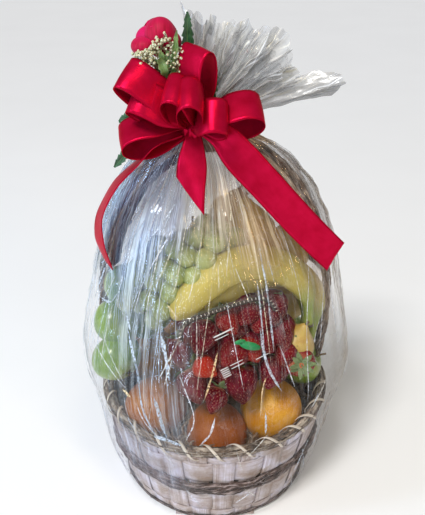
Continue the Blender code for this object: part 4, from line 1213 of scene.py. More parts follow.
# Folds that show in front, coloured as painted glints: width in tenths of a mm, tint from cool to warm glint,
# and stops of an angle in degrees and a height in mm
SHOWN_FOLDS = (
    (11, 0.65, ((-74, 474), (-84, 400))), (13, 0.62, ((-71, 470), (-79, 407), (-83, 371), (-84, 353))),
    (9, 0.6, ((-88, 371), (-88, 342))), (11, 0.62, ((-108, 420), (-109, 354), (-110, 339))),
    (9, 0.55, ((-98, 407), (-101, 356), (-103, 328))), (10, 0.62, ((-112, 410), (-115, 370), (-119, 344))),
    (9, 0.45, ((-70, 431), (-64, 414))), (16, 0.62, ((-57, 423), (-56, 412))),
    (10, 0.62, ((-62, 386), (-64, 359))), (8, 0.6, ((-52, 369), (-52, 349))),
    (34, 0.88, ((-89, 278), (-91, 255), (-94, 226))), (16, 0.88, ((-70, 246), (-72, 231), (-73, 200))),
    (36, 0.8, ((-112, 324), (-106, 309))), (46, 0.8, ((-129, 216), (-125, 210))),
    (22, 0.1, ((-64, 410), (-66, 382), (-66, 349), (-66, 327), (-66, 292), (-66, 272))),
    (20, 0.15, ((-70, 351), (-70, 328), (-70, 303), (-70, 279))),
    (48, 0.12, ((-71, 300), (-70, 269), (-68, 249), (-64, 226))), (15, 0.25, ((-63, 276), (-58, 226))),
    (11, 0.35, ((-42, 352), (-49, 282), (-52, 201))),
    (36, 0.35, ((-27, 334), (-28, 315), (-28, 279), (-28, 244))), (12, 0.35, ((-31, 341), (-43, 257))),
    (16, 0.05, ((-134, 470), (-148, 417))),
    (20, 0.05, ((-126, 465), (-138, 415), (-152, 347), (-160, 295))),
    (15, 0.1, ((-115, 437), (-124, 398), (-136, 357), (-140, 309))),
    (21, 0.0, ((-126, 449), (-132, 409), (-142, 365))),
    (18, 0.1, ((-136, 458), (-144, 421), (-151, 378), (-159, 329))),
    (12, 0.4, ((-112, 430), (-117, 393), (-125, 347), (-128, 307))),
    (48, 0.0, ((-130, 286), (-126, 266), (-122, 241), (-119, 199), (-115, 161))),
    (62, 0.1, ((-113, 290), (-110, 266), (-108, 243))), (60, 0.0, ((-114, 219), (-112, 201), (-110, 165))),
    (60, 0.0, ((-116, 161), (-110, 161), (-104, 156))), (14, 0.35, ((-104, 252), (-98, 204), (-102, 164))),
    (12, 0.3, ((-122, 205), (-119, 180), (-114, 162))), (8, 0.35, ((-156, 254), (-126, 217))),
    (8, 0.35, ((-146, 268), (-128, 223))), (22, 0.3, ((-90, 205), (-92, 180), (-96, 161))),
    (34, 0.0, ((-71, 206), (-70, 171))), (22, 0.1, ((-154, 302), (-144, 305), (-140, 319))),
    (40, 0.05, ((-136, 318), (-128, 284))),
)


def film_points(angle, z):
    """Smooth points of the film at angles and heights, which have the same shape."""
    rows = read_table(FILM_FORM, z)
    across, depth = np.cos(angle), np.sin(angle)
    power = 2 / rows[..., 6]
    wide = np.where(across > 0, rows[..., 3], rows[..., 2])
    deep = np.where(depth > 0, rows[..., 5], rows[..., 4])
    x = rows[..., 0] + signed_power(across, power) * wide
    return stack(x, rows[..., 1] + signed_power(depth, power) * deep, z)


def film_flow(angle, z):
    """A place that stays the same along a fold: folds run up to the neck with a slight lean."""
    return polar(angle + 0.5 * (z - 0.3), 1.0, z)


def film_relief(angle, z):
    """How far the film stands out of its smooth form: pleats to the neck and sharp crumples."""
    flow, smooth = film_flow(angle, z), film_points(angle, z)
    gather = smooth_step(0.24, 0.50, z)
    near_wall = 1 - smooth_step(0.10, 0.17, z)
    broad = rough(flow * np.array([1, 1, 1.6]), 3.6, 1.1, 2)
    pleats = creased(flow * np.array([1, 1, 0.56]), 9.0, 5.7, 2)
    fine = creased(flow * np.array([1, 1, 0.48]), 22.0, 9.4, 2)
    relief = 0.0040 * broad * (1 - near_wall * 0.7)
    relief = relief + pleats * (0.0008 + 0.0030 * gather) + fine * (0.0007 + 0.0011 * gather)
    low = near_wall * smooth_step(0.0, 0.03, z)
    relief = relief + creased(smooth, 26.0, 2.0) * (0.0011 + 0.0012 * low)
    return relief * np.minimum(1.0, np.linalg.norm(smooth[..., :2], axis=-1) / 0.03)


def film_cover(angle, z):
    """How much the film hides at angles and heights, 0 to 1, from a list of its thick places and its places of
    painted sheen.
    """
    cover = np.zeros_like(angle)
    for way, high, wide, tall, much in np.array(COVER_AND_SHEEN) / (1, 1000, 1, 1000, 100):
        off = (np.degrees(angle) - way + 180) % 360 - 180
        cover = np.maximum(cover, much * np.exp(-((off / wide) ** 2) - ((z - high) / tall) ** 2))
    return cover


def rays(n, turn, height, sway, count, width, run, low, high, seed):
    """Straight thin lines towards the neck: a random place, strength and length in each of count sectors."""
    place = n.plus(n.times(turn, count / TAU), n.times(sway, count / 20))
    number = n.maths("FLOOR", place)
    luck = n.add("ShaderNodeTexWhiteNoise", {"W": n.plus(number, seed)}, noise_dimensions="1D")
    middle = n.plus(n.times(luck.outputs["Value"], 0.6), 0.2)
    off = n.size(n.minus(n.maths("FRACT", place), middle))
    edge = width * count / TAU
    line = n.ramp(off, (0.0, 1.0), (edge * 0.4, 0.8), (edge, 0.0))
    dash = n.noise(n.join(n.times(number, 3.7), height, seed), (1, run, 1), 1.0)
    return n.times(line, n.fade(dash, low, high))


def film_colours(n, across, level):
    """Dark, pale and crease colours of the bag, which paint its reflections, its glints and the shade between
    them: blue at the left, warm at the right.
    """
    dark = n.ramp(across, (0.16, (0.19, 0.29, 0.50)), (0.30, (0.18, 0.24, 0.40)), (0.40, (0.12, 0.12, 0.15)),
                  (0.47, (0.33, 0.25, 0.19)), (0.62, (0.34, 0.20, 0.10)), (0.85, (0.24, 0.16, 0.10)))
    pale = n.ramp(across, (0.12, (0.72, 0.90, 1.0)), (0.27, (0.66, 0.82, 1.0)), (0.34, (0.31, 0.34, 0.42)),
                  (0.42, (0.36, 0.34, 0.36)), (0.47, (0.82, 0.77, 0.68)),
                  (0.62, (0.80, 0.63, 0.42)), (0.85, (0.56, 0.47, 0.38)))
    crease = n.ramp(across, (0.10, (0.66, 0.80, 1.0)), (0.36, (0.80, 0.88, 1.0)), (0.46, (1.0, 0.93, 0.62)),
                    (0.60, (0.92, 0.90, 0.92)), (0.90, (0.97, 0.95, 0.97)))
    # Painted sheen: the film is paler and whiter at the lower left of the bag and along its foot except at the
    # right, with darker streaks between.
    low_left_sheen = n.times(n.fade(level, 0.58, 0.46, 0.85), n.fade(across, 0.42, 0.34))
    foot = n.times(n.fade(level, 0.30, 0.20), n.fade(across, 0.80, 0.55))
    for share, paler, darker in (
        (low_left_sheen, (0.66, 0.73, 0.76), (0.08, 0.10, 0.11)),
        (foot, (0.64, 0.67, 0.80), (0.30, 0.28, 0.33)),
    ):
        pale, dark = n.mix(share, pale, paler), n.mix(share, dark, darker)
    return dark, pale, crease


def fan_colours(n, parts, painted_light_streaks):
    """Dark, pale and crease colours of the gathered end, greyer in its wing at the right. The near-white pale
    colour is partly the real milkiness of gathered film and partly painted sheen; the crease colours are
    painted glints, cool to warm.
    """
    slope = n.over(n.minus(parts["Z"], FAN_CENTRE.z), n.minus(parts["X"], FAN_CENTRE.x))
    wing = n.times(n.fade(slope, 0.44, 0.32), n.fade(parts["X"], 0.02, 0.05))
    pale = n.mix(wing, (0.96, 0.96, 0.95), (0.25, 0.24, 0.235))
    crease = n.ramp(painted_light_streaks, (0.3, (0.88, 0.92, 1.0)), (0.7, (1.0, 0.97, 0.84)))
    return (0.33, 0.335, 0.34), pale, crease


def film_finish(name, fan=False):
    """Clear film: a thin mirror-like skin, milky where it is gathered, with painted glints along straight
    creases and painted streaks of reflected light and shade.
    """
    n = Nodes(name)
    flow, place = n.local(), n.place()
    parts, ways = n.split(place), n.split(flow)
    turn, height = ways["X"], ways["Z"]
    if not fan:
        turn = n.maths("ARCTAN2", turn, n.times(ways["Y"], -1.0))
    ends = n.join(turn, height, ways["Y"]) if fan else flow
    sway = n.minus(n.noise(ends, (2.2, 2.2, 5.0), 1.0), 0.5)
    # bright, fine and wide are straight lines towards the neck, painted glints in the crease colours.
    bright = rays(n, turn, height, sway, 190, 0.0042, 9.0, 0.50, 0.58, 3.0)
    fine = rays(n, turn, height, sway, 520, 0.0026, 22.0, 0.46, 0.56, 11.0)
    wide = rays(n, turn, height, sway, 74, 0.020, 7.0, 0.52, 0.66, 7.0)
    streaks = n.noise(ends, (9, 1.6, 7.0) if fan else (22, 22, 1.4), 3.0, 0.7)
    brushed = n.noise(ends, (36, 6.4, 21) if fan else (52.8, 52.8, 5.6), 2.0, 0.6)
    crumple_glints = n.noise(place, (34, 34, 13.6), 3.0, 0.6, 1.2)
    crumple_glints = n.fade(n.size(n.minus(crumple_glints, 0.5)), 0.010, 0.0)
    crumple = n.noise(place, 90.0, 4.0, 0.65, 0.5)
    edge = n.times(n.maths("POWER", n.facing(0.30), 3.2), 0.40)
    # The streaks mix the dark and pale colours into painted streaks of reflected light and shade.
    painted_light_streaks = n.plus(n.times(streaks, 0.60), n.times(brushed, 0.40))
    painted_light_streaks = n.ramp(painted_light_streaks, (0.44, 0.0), (0.51, 0.42), (0.58, 1.0))
    cover = n.tint()
    thick = n.times(cover, n.ramp(painted_light_streaks, (0.0, 0.78), (1.0, 1.0)))
    marks = n.most(n.most(bright, n.times(fine, 0.55)), n.times(wide, 0.42))
    if fan:
        dark, pale, glint_colour = fan_colours(n, parts, painted_light_streaks)
    else:
        across, level = n.plus(n.times(parts["X"], 2.9), 0.5), n.over(parts["Z"], 0.66)
        # Painted glints are strongest at the left and high up towards the neck.
        near = n.ramp(level, (0.10, 0.06), (0.34, 0.40), (0.60, 1.0))
        side = n.ramp(across, (0.0, 1.0), (0.36, 0.9), (0.44, 0.30), (0.80, 0.36), (1.0, 0.7))
        marks = n.times(marks, n.times(near, side))
        dark, pale, glint_colour = film_colours(n, across, level)
    marks = n.most(marks, n.times(crumple_glints, 0.16))
    alpha = n.plus(n.plus(n.times(marks, 0.80), n.plus(thick, edge)), FILM_CLEAR, True)
    strong = n.most(marks, cover, True)
    share = n.over(marks, n.plus(n.plus(marks, thick), 0.02), True)
    colour = n.mix(share, n.mix(painted_light_streaks, dark, pale), glint_colour)
    colour = n.mix(n.fade(strong, 0.22, 0.0), colour, (0.95, 0.97, 1.0))
    relief = n.plus(n.plus(n.times(streaks, 0.9), n.times(crumple, 0.12)), n.times(marks, 0.5))
    return n.finish(colour, 0.20 if fan else 0.09, n.bump(relief, 0.7, 0.0012), Alpha=alpha,
                    Metallic=n.ramp(strong, (0.05, 1.0), (0.40, 0.10)), Specular_IOR_Level=0.20 if fan else 0.5)


def fold_glint_finish():
    """Creased edges of the film, coloured as painted glints: cool at tint 0, warm at tint 1."""
    n = Nodes("film_folds_painted_glints")
    crumple = n.noise(n.place(), 420.0, 3.0, 0.6, 0.5)
    colour = n.ramp(n.tint(), (0.0, (0.72, 0.84, 1.0)), (0.4, (0.93, 0.94, 1.0)), (0.7, (1.0, 0.93, 0.66)),
                    (1.0, (1.0, 0.62, 0.26)))
    return n.finish(colour, 0.30, n.bump(crumple, 0.8, 0.0012), Metallic=0.15, Specular_IOR_Level=0.8,
                    Alpha=n.ramp(crumple, (0.40, 0.06), (0.58, 0.78)))


def fold(pile, stops, width, tint, seed):
    """A thin creased blade that lies on the film, through stops of angle in degrees and height."""
    stops = np.array(stops, dtype=float)
    count = max(8, int(340 * np.ptp(stops[:, 1])) + 6)
    degrees, z = spline(stops, count).T
    angle = np.radians(degrees)
    out = unit(polar(angle, 1.0, 0.35))
    base = film_points(angle, z) + out * 0.0030
    along = unit(np.gradient(base, axis=0))
    side = unit(np.cross(along, out))
    t = np.linspace(0, 1, count)
    taper = np.clip(np.minimum(t, 1 - t) * 6, 0.15, 1)
    half = width / 2 * taper * (1 + 0.35 * rough(base, 160.0, seed, 2))
    twist = (0.7 * rough(base, 40.0, seed + 5, 2))[:, None]
    lean = unit(side * np.cos(twist) + out * np.sin(twist))
    loft(pile, strip_rings(base, np.cross(along, lean), lean, half, 0.00025, 3, width * 0.25), None, tint)


def film_folds_painted_glints(finish):
    """The folds that show in front, then finer seeded ones all the way round, all coloured as painted glints.
    """
    pile = Pile()
    for seed, (width, tint, stops) in enumerate(SHOWN_FOLDS):
        width = tenths(width) * (1.0 if width < 30 else 0.7)
        fold(pile, np.array(stops) / (1, 1000), width, tint, seed)
    draw = random.Random(77)
    for k in range(70):
        left_side = k < 30
        angle = draw.uniform(-176, -112) if left_side else draw.uniform(-112, 184)
        top, drop = draw.uniform(0.30, 0.485), draw.uniform(0.03, 0.13)
        swing = draw.uniform(0, 6) * (-1 if math.cos(math.radians(angle)) < 0 else 1)
        tint = draw.choice((0.0, 0.1, 0.3, 0.5) if left_side else (0.1, 0.4, 0.55, 0.62))
        stops = [(angle + swing * s, top - drop * s) for s in (0, 0.33, 0.66, 1)]
        fold(pile, stops, draw.uniform(0.0004, 0.0012), tint, k + 50)
    for k in range(60):
        angle, low = draw.uniform(-180, 180), draw.uniform(0.02, 0.30)
        run, lean = draw.uniform(0.01, 0.06), draw.uniform(-9, 9)
        stops = [(angle + lean * s, low + run * s) for s in (0, 0.5, 1)]
        fold(pile, stops, draw.uniform(0.0005, 0.0016), draw.choice((0.1, 0.3, 0.5)), k + 400)
    return pile.piece("film_folds_painted_glints", finish, "film", "wrap")


def film_skin(finish):
    """The bag: one thin sheet from under the basket's edge up to the tied neck."""
    pile = Pile()
    around, rows = 400, 200
    angle, z = np.broadcast_arrays(even_turns(around)[None], np.linspace(0.0008, 0.520, rows)[:, None])
    hug = smooth_step(0.0, 0.02, z) * (1 - smooth_step(0.505, 0.52, z))
    relief = (film_relief(angle, z) * hug)[..., None]
    points = film_points(angle, z) + unit(polar(angle, 1.0, 0.35)) * relief
    cover = np.clip(film_cover(angle, z) + 0.9 * smooth_step(0.475, 0.500, z), 0, 0.95)
    pile.add(points, grid_faces(rows, around, False, True), film_flow(angle, z), cover)
    return pile.piece("film", finish, "film", "wrap")


def fan_reach(turn):
    """How far the gathered end reaches from the neck at an angle; the stops are in degrees."""
    stops = ((11, 0.150), (16, 0.176), (22, 0.136), (32, 0.126), (42, 0.136), (60, 0.124), (78, 0.114),
             (88, 0.116), (96, 0.128))
    return read_table(stops, np.degrees(turn))[..., 0]


def fan_layer(pile, first, last, folds, depth_scale, reach_scale, phase, shift):
    """One pleated layer of the gathered end, opening away from the neck between two angles in degrees."""
    columns, rows = folds * 18, 40
    turn = np.radians(np.linspace(first, last, columns))[:, None]
    share = (np.linspace(0.02, 1, rows) ** 0.9)[None]
    pleat = np.linspace(0, folds * TAU, columns)[:, None] + phase
    zigzag = np.arcsin(0.97 * np.sin(pleat)) / (math.pi / 2)
    wobble = rough(stack(turn * 6 + phase, share * 1.5, 0.0), 1.6, phase)
    facets = creased(stack(turn * 9 + phase, share * 7.0, 0.0), 1.0, phase + 3, 2)
    wing = 1 - smooth_step(math.radians(19), math.radians(25), turn)
    depth = FAN_DEPTH * depth_scale * share**0.9 * zigzag * (0.8 + 0.25 * np.sin(pleat * 0.5 + phase))
    flatter = 1 - 0.7 * smooth_step(math.radians(76), math.radians(FAN_TO), turn)
    depth = depth * flatter + 0.010 * wobble * share
    depth = (depth + 0.0035 * facets * share**0.5) * (1 - 0.55 * wing)
    ragged = 1 + 0.025 * np.sin(pleat + 1.0) + 0.03 * rough(stack(turn * 30, phase, 0.0), 1.0, phase, 2)
    length = fan_reach(turn) * share * reach_scale * ragged
    swing = turn + 0.05 * wobble * share
    points = stack(np.cos(swing) * length, depth + shift * share, np.sin(swing) * length) + np.array(FAN_CENTRE)
    cover = 0.64 - 0.30 * share + 0.20 * np.sin(pleat * 0.5 + phase * 3)
    cover = cover + 0.25 * smooth_step(math.radians(74), math.radians(84), turn) * share
    cover = np.clip(np.maximum(cover, 0.80 * wing), 0.10, 0.80)
    pile.add(points, grid_faces(columns, rows), stack(turn * 0.9 + phase, phase, share * 0.16), cover)


def film_fan(finish):
    pile = Pile()
    fan_layer(pile, FAN_FROM, FAN_TO, 10, 1.0, 1.0, 0.4, 0.0)
    fan_layer(pile, 20, 94, 7, 0.75, 0.95, 1.9, 0.010)
    fan_layer(pile, 24, 92, 9, 0.60, 0.86, 3.1, -0.012)
    return pile.piece("film_fan", finish, "film", "wrap")


# Bow


def ribbon(pile, centres, wides, halves, normals, seed, pleat=None, across=11):
    """A satin strip with a rolled edge, through centres, with its width along wides."""
    wides, normals = (np.broadcast_to(rows, centres.shape)[:, None] for rows in (wides, normals))
    halves = np.broadcast_to(halves, (len(centres),))[:, None]
    s = np.linspace(-1, 1, across)[None]
    crown = 0.0010 * (1 - s**2) * (halves / (RIBBON_WIDTH / 2))
    if pleat is not None:
        crown = crown + pleat[:, None] * np.cos(s * math.pi * 3.5 + seed)
    face = centres[:, None] + wides * (s * halves)[..., None] + normals * crown[..., None]
    bead = normals * (RIBBON_THICK / 2 * (1 + 0.9 * (np.abs(s) > 0.98)))[..., None]
    local = strip_local(run_length(centres), across, 1.0, seed)
    loft(pile, np.concatenate([face + bead, (face - bead)[:, ::-1]], axis=1), local, 0.5)


def ribbon_loop(pile, tip, width_way, opening, seed):
    knot = np.array(KNOT)
    reach = np.linalg.norm(tip - knot)
    along = unit(tip - knot)
    wide = np.array(width_way)
    wide = unit(wide - along * (wide @ along))
    side = np.cross(along, wide)
    t = np.linspace(0.0, 1.0, 72)
    arc = np.sin(math.pi * t)
    centres = knot + np.outer(reach * arc, along)
    centres = centres + np.outer(opening * np.sin(TAU * t) + 0.0030 * np.cos(math.pi * t), side)
    slope = np.outer(reach * math.pi * np.cos(math.pi * t), along)
    slope = slope + np.outer(opening * TAU * np.cos(TAU * t), side)
    spread = blend(0.22, 1.0, smooth_step(0.0, 0.62, arc))
    pleat = 0.0016 * (1 - smooth_step(0.05, 0.55, arc))
    ribbon(pile, centres, wide, RIBBON_WIDTH / 2 * spread, unit(np.cross(slope, wide)), seed, pleat)


def turned_alike(stops):
    """Stops of a tail in metres, with each width direction on the same side as the one before."""
    rows = np.array(stops) / np.array([10000] * 3 + [1] * 4)
    for before, row in zip(rows, rows[1:]):
        if row[3:6] @ before[3:6] < 0:
            row[3:6] *= -1
    return rows


def ribbon_tail(pile, stops, slant, seed):
    """A hanging end; slant is the share of its length by which one edge ends sooner."""
    count = 90
    rows = spline(turned_alike(stops), count)
    centres = rows[:, :3]
    along = unit(np.gradient(centres, axis=0))
    wides = rows[:, 3:6]
    wides = unit(wides - along * np.sum(wides * along, axis=1, keepdims=True))
    reach = wides * (RIBBON_WIDTH / 2 * rows[:, 6:])
    share = np.linspace(0, 1, count)

    def at(values, places):
        return stack(*(np.interp(places, share, column) for column in values.T))

    low_edge, high_edge = at(centres - reach, share * (1 - slant)), at(centres + reach, share)
    normal = unit(at(np.cross(along, wides), share * (1 - slant / 2)))
    span = high_edge - low_edge
    pleat = 0.0014 * (1 - smooth_step(0.0, 0.30, share))
    ribbon(pile, (low_edge + high_edge) / 2, unit(span), np.linalg.norm(span, axis=1) / 2, normal, seed, pleat)


def knot_wrap(pile):
    """The crumpled middle of the bow, and the ribbon round the neck."""
    tilt = np.linspace(0.08, math.pi - 0.08, 30)[:, None]
    turn = even_turns(60)[None]
    crease = 1 + 0.10 * np.cos(turn * 9 + 2 * np.sin(tilt * 3)) + 0.05 * np.cos(turn * 4)
    ring = polar(turn, crease * np.sin(tilt), -np.cos(tilt)) * np.array([0.0120, 0.0110, 0.0130])
    loft(pile, ring + np.array(KNOT), None, 0.3)
    turn = np.linspace(0, TAU, 80)
    for k in range(3):
        height = 0.0035 * (k - 1) + 0.0008 * np.sin(turn * 3 + k)
        wide = np.array([0.0222 + 0.0005 * k, 0.0252 + 0.0005 * k, 1])
        ribbon(pile, np.array(TIE_CENTRE) + polar(turn, 1.0, height) * wide, UP, 0.0026, polar(turn), k)


def satin_finish():
    n = Nodes("crimson_satin")
    local, place = n.local(), n.place()
    parts = n.split(local)
    threads = n.noise(local, (60, 90, 1), 3.0)
    weft = n.add("ShaderNodeTexWave", {"Vector": local, "Scale": 900.0},
                 bands_direction="X").outputs["Fac"]
    clouds = n.noise(place, 60.0, 2.0)
    colour = n.ramp(clouds, (0.3, (0.42, 0.0026, 0.024)), (0.7, (0.54, 0.0050, 0.042)))
    colour = n.mix(n.fade(threads, 0.4, 0.7, 0.30), colour, (0.64, 0.010, 0.07))
    edge = n.fade(n.size(parts["Y"]), 0.90, 0.95, 0.6)
    colour = n.mix(edge, colour, (0.36, 0.002, 0.016))
    height = n.plus(n.times(weft, 0.35), threads)
    return n.finish(colour, 0.30, n.bump(height, 0.10, 0.0006), Metallic=0.50, Specular_IOR_Level=0.04,
                    Specular_Tint=(0.90, 0.08, 0.17, 1.0))


def bow(finish):
    """Each loop has its tip, its width's direction there and half its opening; each tail has stops of
    place, width's direction and share of full width, and its slant."""
    pile = Pile()
    for seed, (*tip, way, opening) in enumerate((
        (-948, -600, 5770, (-0.45, -0.6, -0.64), 130), (-851, -640, 5545, (-0.42, -0.5, -0.76), 140),
        (-1023, -580, 5034, (-0.05, -0.9, -0.42), 130), (-454, -830, 5680, (-0.1, -0.62, -0.78), 110),
        (-270, -900, 5660, (0.0, -0.62, -0.78), 110), (-178, -545, 6015, (0.66, -0.74, -0.1), 95),
        (498, -500, 5349, (0.02, -0.8, -0.6), 160), (68, -800, 5378, (0.02, -0.62, -0.78), 120),
    )):
        ribbon_loop(pile, tenths(tip), way, tenths(opening), seed)
    right = (
        (-160, -500, 5150, 0.3, -0.6, -0.7, 0.35), (72, -600, 5090, 0.62, 0.05, 0.75, 0.8),
        (267, -660, 4880, 0.68, 0.1, 0.72, 1.0), (511, -700, 4620, 0.7, 0.1, 0.7, 1.0),
        (953, -720, 4130, 0.7, 0.08, 0.7, 1.0), (1262, -700, 3800, 0.7, 0.05, 0.7, 1.0),
        (1450, -660, 3600, 0.7, 0.05, 0.7, 1.0),
    )
    left = (
        (-360, -500, 5060, 0.2, -0.9, 0.3, 0.35), (-620, -580, 4970, 0.1, -0.9, 0.4, 0.7),
        (-833, -600, 4800, 0.2, -0.93, 0.26, 0.9), (-1113, -600, 4520, 0.26, -0.93, 0.26, 1.0),
        (-1300, -580, 4160, 0.3, -0.88, 0.36, 1.0), (-1345, -540, 3800, 0.4, -0.88, 0.2, 1.0),
        (-1290, -480, 3480, 0.4, -0.88, 0.1, 1.0),
    )
    middle = (
        (-235, -520, 5120, 1.0, 0.0, 0.0, 0.35), (-239, -610, 5000, 1.0, 0.05, 0.0, 0.6),
        (-251, -700, 4800, 0.98, -0.1, 0.0, 0.85), (-265, -790, 4570, 0.9, -0.4, 0.0, 0.9),
        (-260, -860, 4300, 0.8, -0.6, 0.0, 0.9),
    )
    for seed, (stops, slant) in enumerate(((right, 0.10), (left, 0.0), (middle, 0.36))):
        ribbon_tail(pile, stops, slant, seed + 20)
    knot_wrap(pile)
    return pile.piece("satin_bow", finish, "crimson_satin", "bow")


# Rose, spray and leaves


def rose_tilt():
    return np.array(Matrix.Rotation(math.radians(14), 3, "X") @ Matrix.Rotation(math.radians(-12), 3, "Y"))


def petal(pile, turn, radius, height, dome, spread, close, seed):
    """A cupped petal with a domed edge that turns slightly outwards."""
    u, v = np.linspace(-1, 1, 25)[None], np.linspace(0, 1, 20)[:, None]
    width = spread * (0.42 + 0.58 * np.sin(math.pi * np.minimum(1.0, 0.10 + 0.62 * v)) ** 0.7)
    out = radius * np.sin(math.pi * (0.13 + close * v)) ** 0.75
    out = out + 0.0016 * v**6 + 0.0007 * np.sin(u * 4 + seed) * v**3 + 0.0018 * np.abs(u) ** 3 * v
    angle = turn + width * u
    flat = polar(angle, out, height * (v * (1 - dome * np.abs(u) ** 2.4) - 0.5))
    half = polar(angle) * (PETAL_THICK / 2 * (1 - 0.5 * v**4))[..., None]
    ring = np.concatenate([flat + half, (flat - half)[:, ::-1]], axis=1)
    local = stack(np.concatenate([u, u[:, ::-1]], axis=1), v, seed * 0.3)
    loft(pile, ring @ rose_tilt().T + np.array(ROSE_CENTRE), local, 0.3)


def rose_finish():
    n = Nodes("rose_petal")
    local = n.local()
    parts = n.split(local)
    veins = n.noise(local, (16, 2.5, 5), 4.0)
    colour = n.ramp(veins, (0.35, (0.36, 0.0020, 0.030)), (0.62, (0.50, 0.0045, 0.052)))
    reach = n.most(n.size(parts["X"]), parts["Y"])
    # The rims are a brighter, more saturated pink: partly the petals' own colour, partly painted highlight.
    colour = n.mix(n.fade(reach, 0.62, 1.0, 0.60), colour, (0.66, 0.008, 0.105))
    # Tint 1 gives a brighter magenta: partly the petal's own tone, partly painted light.
    colour = n.mix(n.fade(n.tint(), 0.3, 1.0, 0.75), colour, (0.66, 0.006, 0.125))
    # Painted shade: the lower part of each petal, down in the bud, is darker.
    colour = n.mix(n.fade(parts["Y"], 0.45, 0.0, 0.55), colour, (0.17, 0.0010, 0.012))
    return n.finish(colour, 0.50, n.bump(veins, 0.25, 0.0008), Sheen_Weight=0.08, Sheen_Roughness=0.5,
                    Sheen_Tint=(1.0, 0.3, 0.5, 1.0), Specular_IOR_Level=0.15)


def cup(pile, centre, radii, facing, reach_up, reach_down, seed, tint):
    """A petal as a rounded patch of an egg-shaped shell that faces a given way, its rim turned out a little."""
    facing = unit(facing)
    side = unit(np.cross(UP, facing))
    up = np.cross(facing, side)
    phi = even_turns(60)
    share = np.linspace(0.04, 1, 22)[:, None]
    reach = np.radians(blend(reach_down, reach_up, 0.5 + 0.5 * np.cos(phi)))
    tilt = (share * reach * (1 + 0.025 * np.sin(2 * phi + seed)))[..., None]
    way = facing * np.cos(tilt) + (np.outer(np.sin(phi), side) + np.outer(np.cos(phi), up)) * np.sin(tilt)
    swell = 1 + 0.05 * smooth_step(0.84, 1.0, share) + 0.010 * np.sin(phi * 2 + seed) * share**3
    outer = way * radii * swell[..., None]
    half = unit(way / radii) * (PETAL_THICK / 2 * (1 - 0.6 * share**6))[..., None]
    skin = np.concatenate([outer + half, (outer - half)[::-1]])
    local = stack(np.sin(phi) * share, 0.5 + 0.5 * np.cos(phi) * share, seed * 0.3)
    loft(pile, skin + centre, np.concatenate([local, local[::-1]]), tint)


def rose(finish):
    """A bud of inner petals, then big rounded outer ones; the tallest covers the right of the front."""
    pile = Pile()
    for i in range(8):
        share = i / 7
        radius, height = ROSE_RADIUS * blend(0.20, 0.62, share), ROSE_HEIGHT * blend(0.80, 0.88, share)
        petal(pile, 2.4 * i + 0.5, radius, height, 0.16, blend(1.5, 1.05, share), 0.74, i + 20)
    # The last number is the tint; the cup facing up to the left takes 1, its brighter magenta partly painted
    # light.
    for seed, (centre, radii, facing, reach_up, tint) in enumerate((
        ((-600, -120, 6020), (195, 180, 200), (0.1, 0.9, 0.25), 62, 0.3),
        ((-480, -150, 5975), (118, 130, 125), (0.75, -0.5, 0.15), 70, 0.2),
        ((-685, -100, 6010), (165, 150, 138), (-0.6, -0.7, 0.4), 88, 1.0),
        ((-578, -190, 6035), (167, 165, 212), (0.12, -0.93, 0.35), 96, 0.0),
        ((-745, -265, 5965), (142, 130, 100), (-0.4, -0.85, 0.1), 74, 0.25),
    )):
        cup(pile, tenths(centre), tenths(radii), facing, reach_up, 80, seed, tint)
    return pile.piece("rose_petals", finish, "rose_petal", "rose")


def stem_line(top, foot, rise, count=24):
    """A curve that leaves its foot straight up for a while and then bends to its top."""
    top, foot = np.array(top), np.array(foot)
    bend = foot + UP * rise
    t = np.linspace(0, 1, count)[:, None]
    return foot * (1 - t) ** 2 + bend * (2 * t * (1 - t)) + top * t * t


def rose_stem(finish):
    pile = Pile()
    axis = rose_tilt() @ UP
    under = np.array(ROSE_CENTRE) - axis * (ROSE_HEIGHT * 0.5 + 0.0015)
    sweep(pile, stem_line(under, STEM_FOOT, 0.045, 40), 0.0018, 9, 0.4, 0.06, 1)
    calyx(pile, under + axis * 0.0005, axis, 0.011, 0.75, 3)
    sweep(pile, under + np.outer([-0.004, 0, 0.004], axis), [0.0020, 0.0042, 0.0050], 12, 0.4)
    return pile.piece("rose_stem_green", finish, "stem_green", "rose_stem")


def flower_ball(pile, centre, radius, seed):
    """A tiny double flower: a ball broken into rounded petals."""
    t = np.linspace(0.1, math.pi - 0.1, 9)[:, None]
    turn = even_turns(12)[None] + seed
    bumps = 1 + 0.20 * np.cos(3 * turn + seed) * np.cos(3 * t + seed * 2) + 0.12 * np.cos(5 * turn)
    ball = polar(turn, np.sin(t), np.cos(t)) * bumps[..., None]
    loft(pile, ball * radius + np.asarray(centre), ball, (seed * 0.37) % 1)


def spray_finish():
    n = Nodes("cream_florets")
    place = n.place()
    grain = n.noise(place, 700.0, 2.0)
    colour = n.ramp(grain, (0.35, (0.42, 0.43, 0.24)), (0.60, (0.78, 0.78, 0.60)))
    colour = n.mix(n.fade(n.tint(), 0.55, 1.0, 0.5), colour, (0.62, 0.60, 0.36))
    return n.finish(colour, 0.7, n.bump(grain, 0.3, 0.0006), Subsurface_Weight=0.15, Subsurface_Scale=0.002)


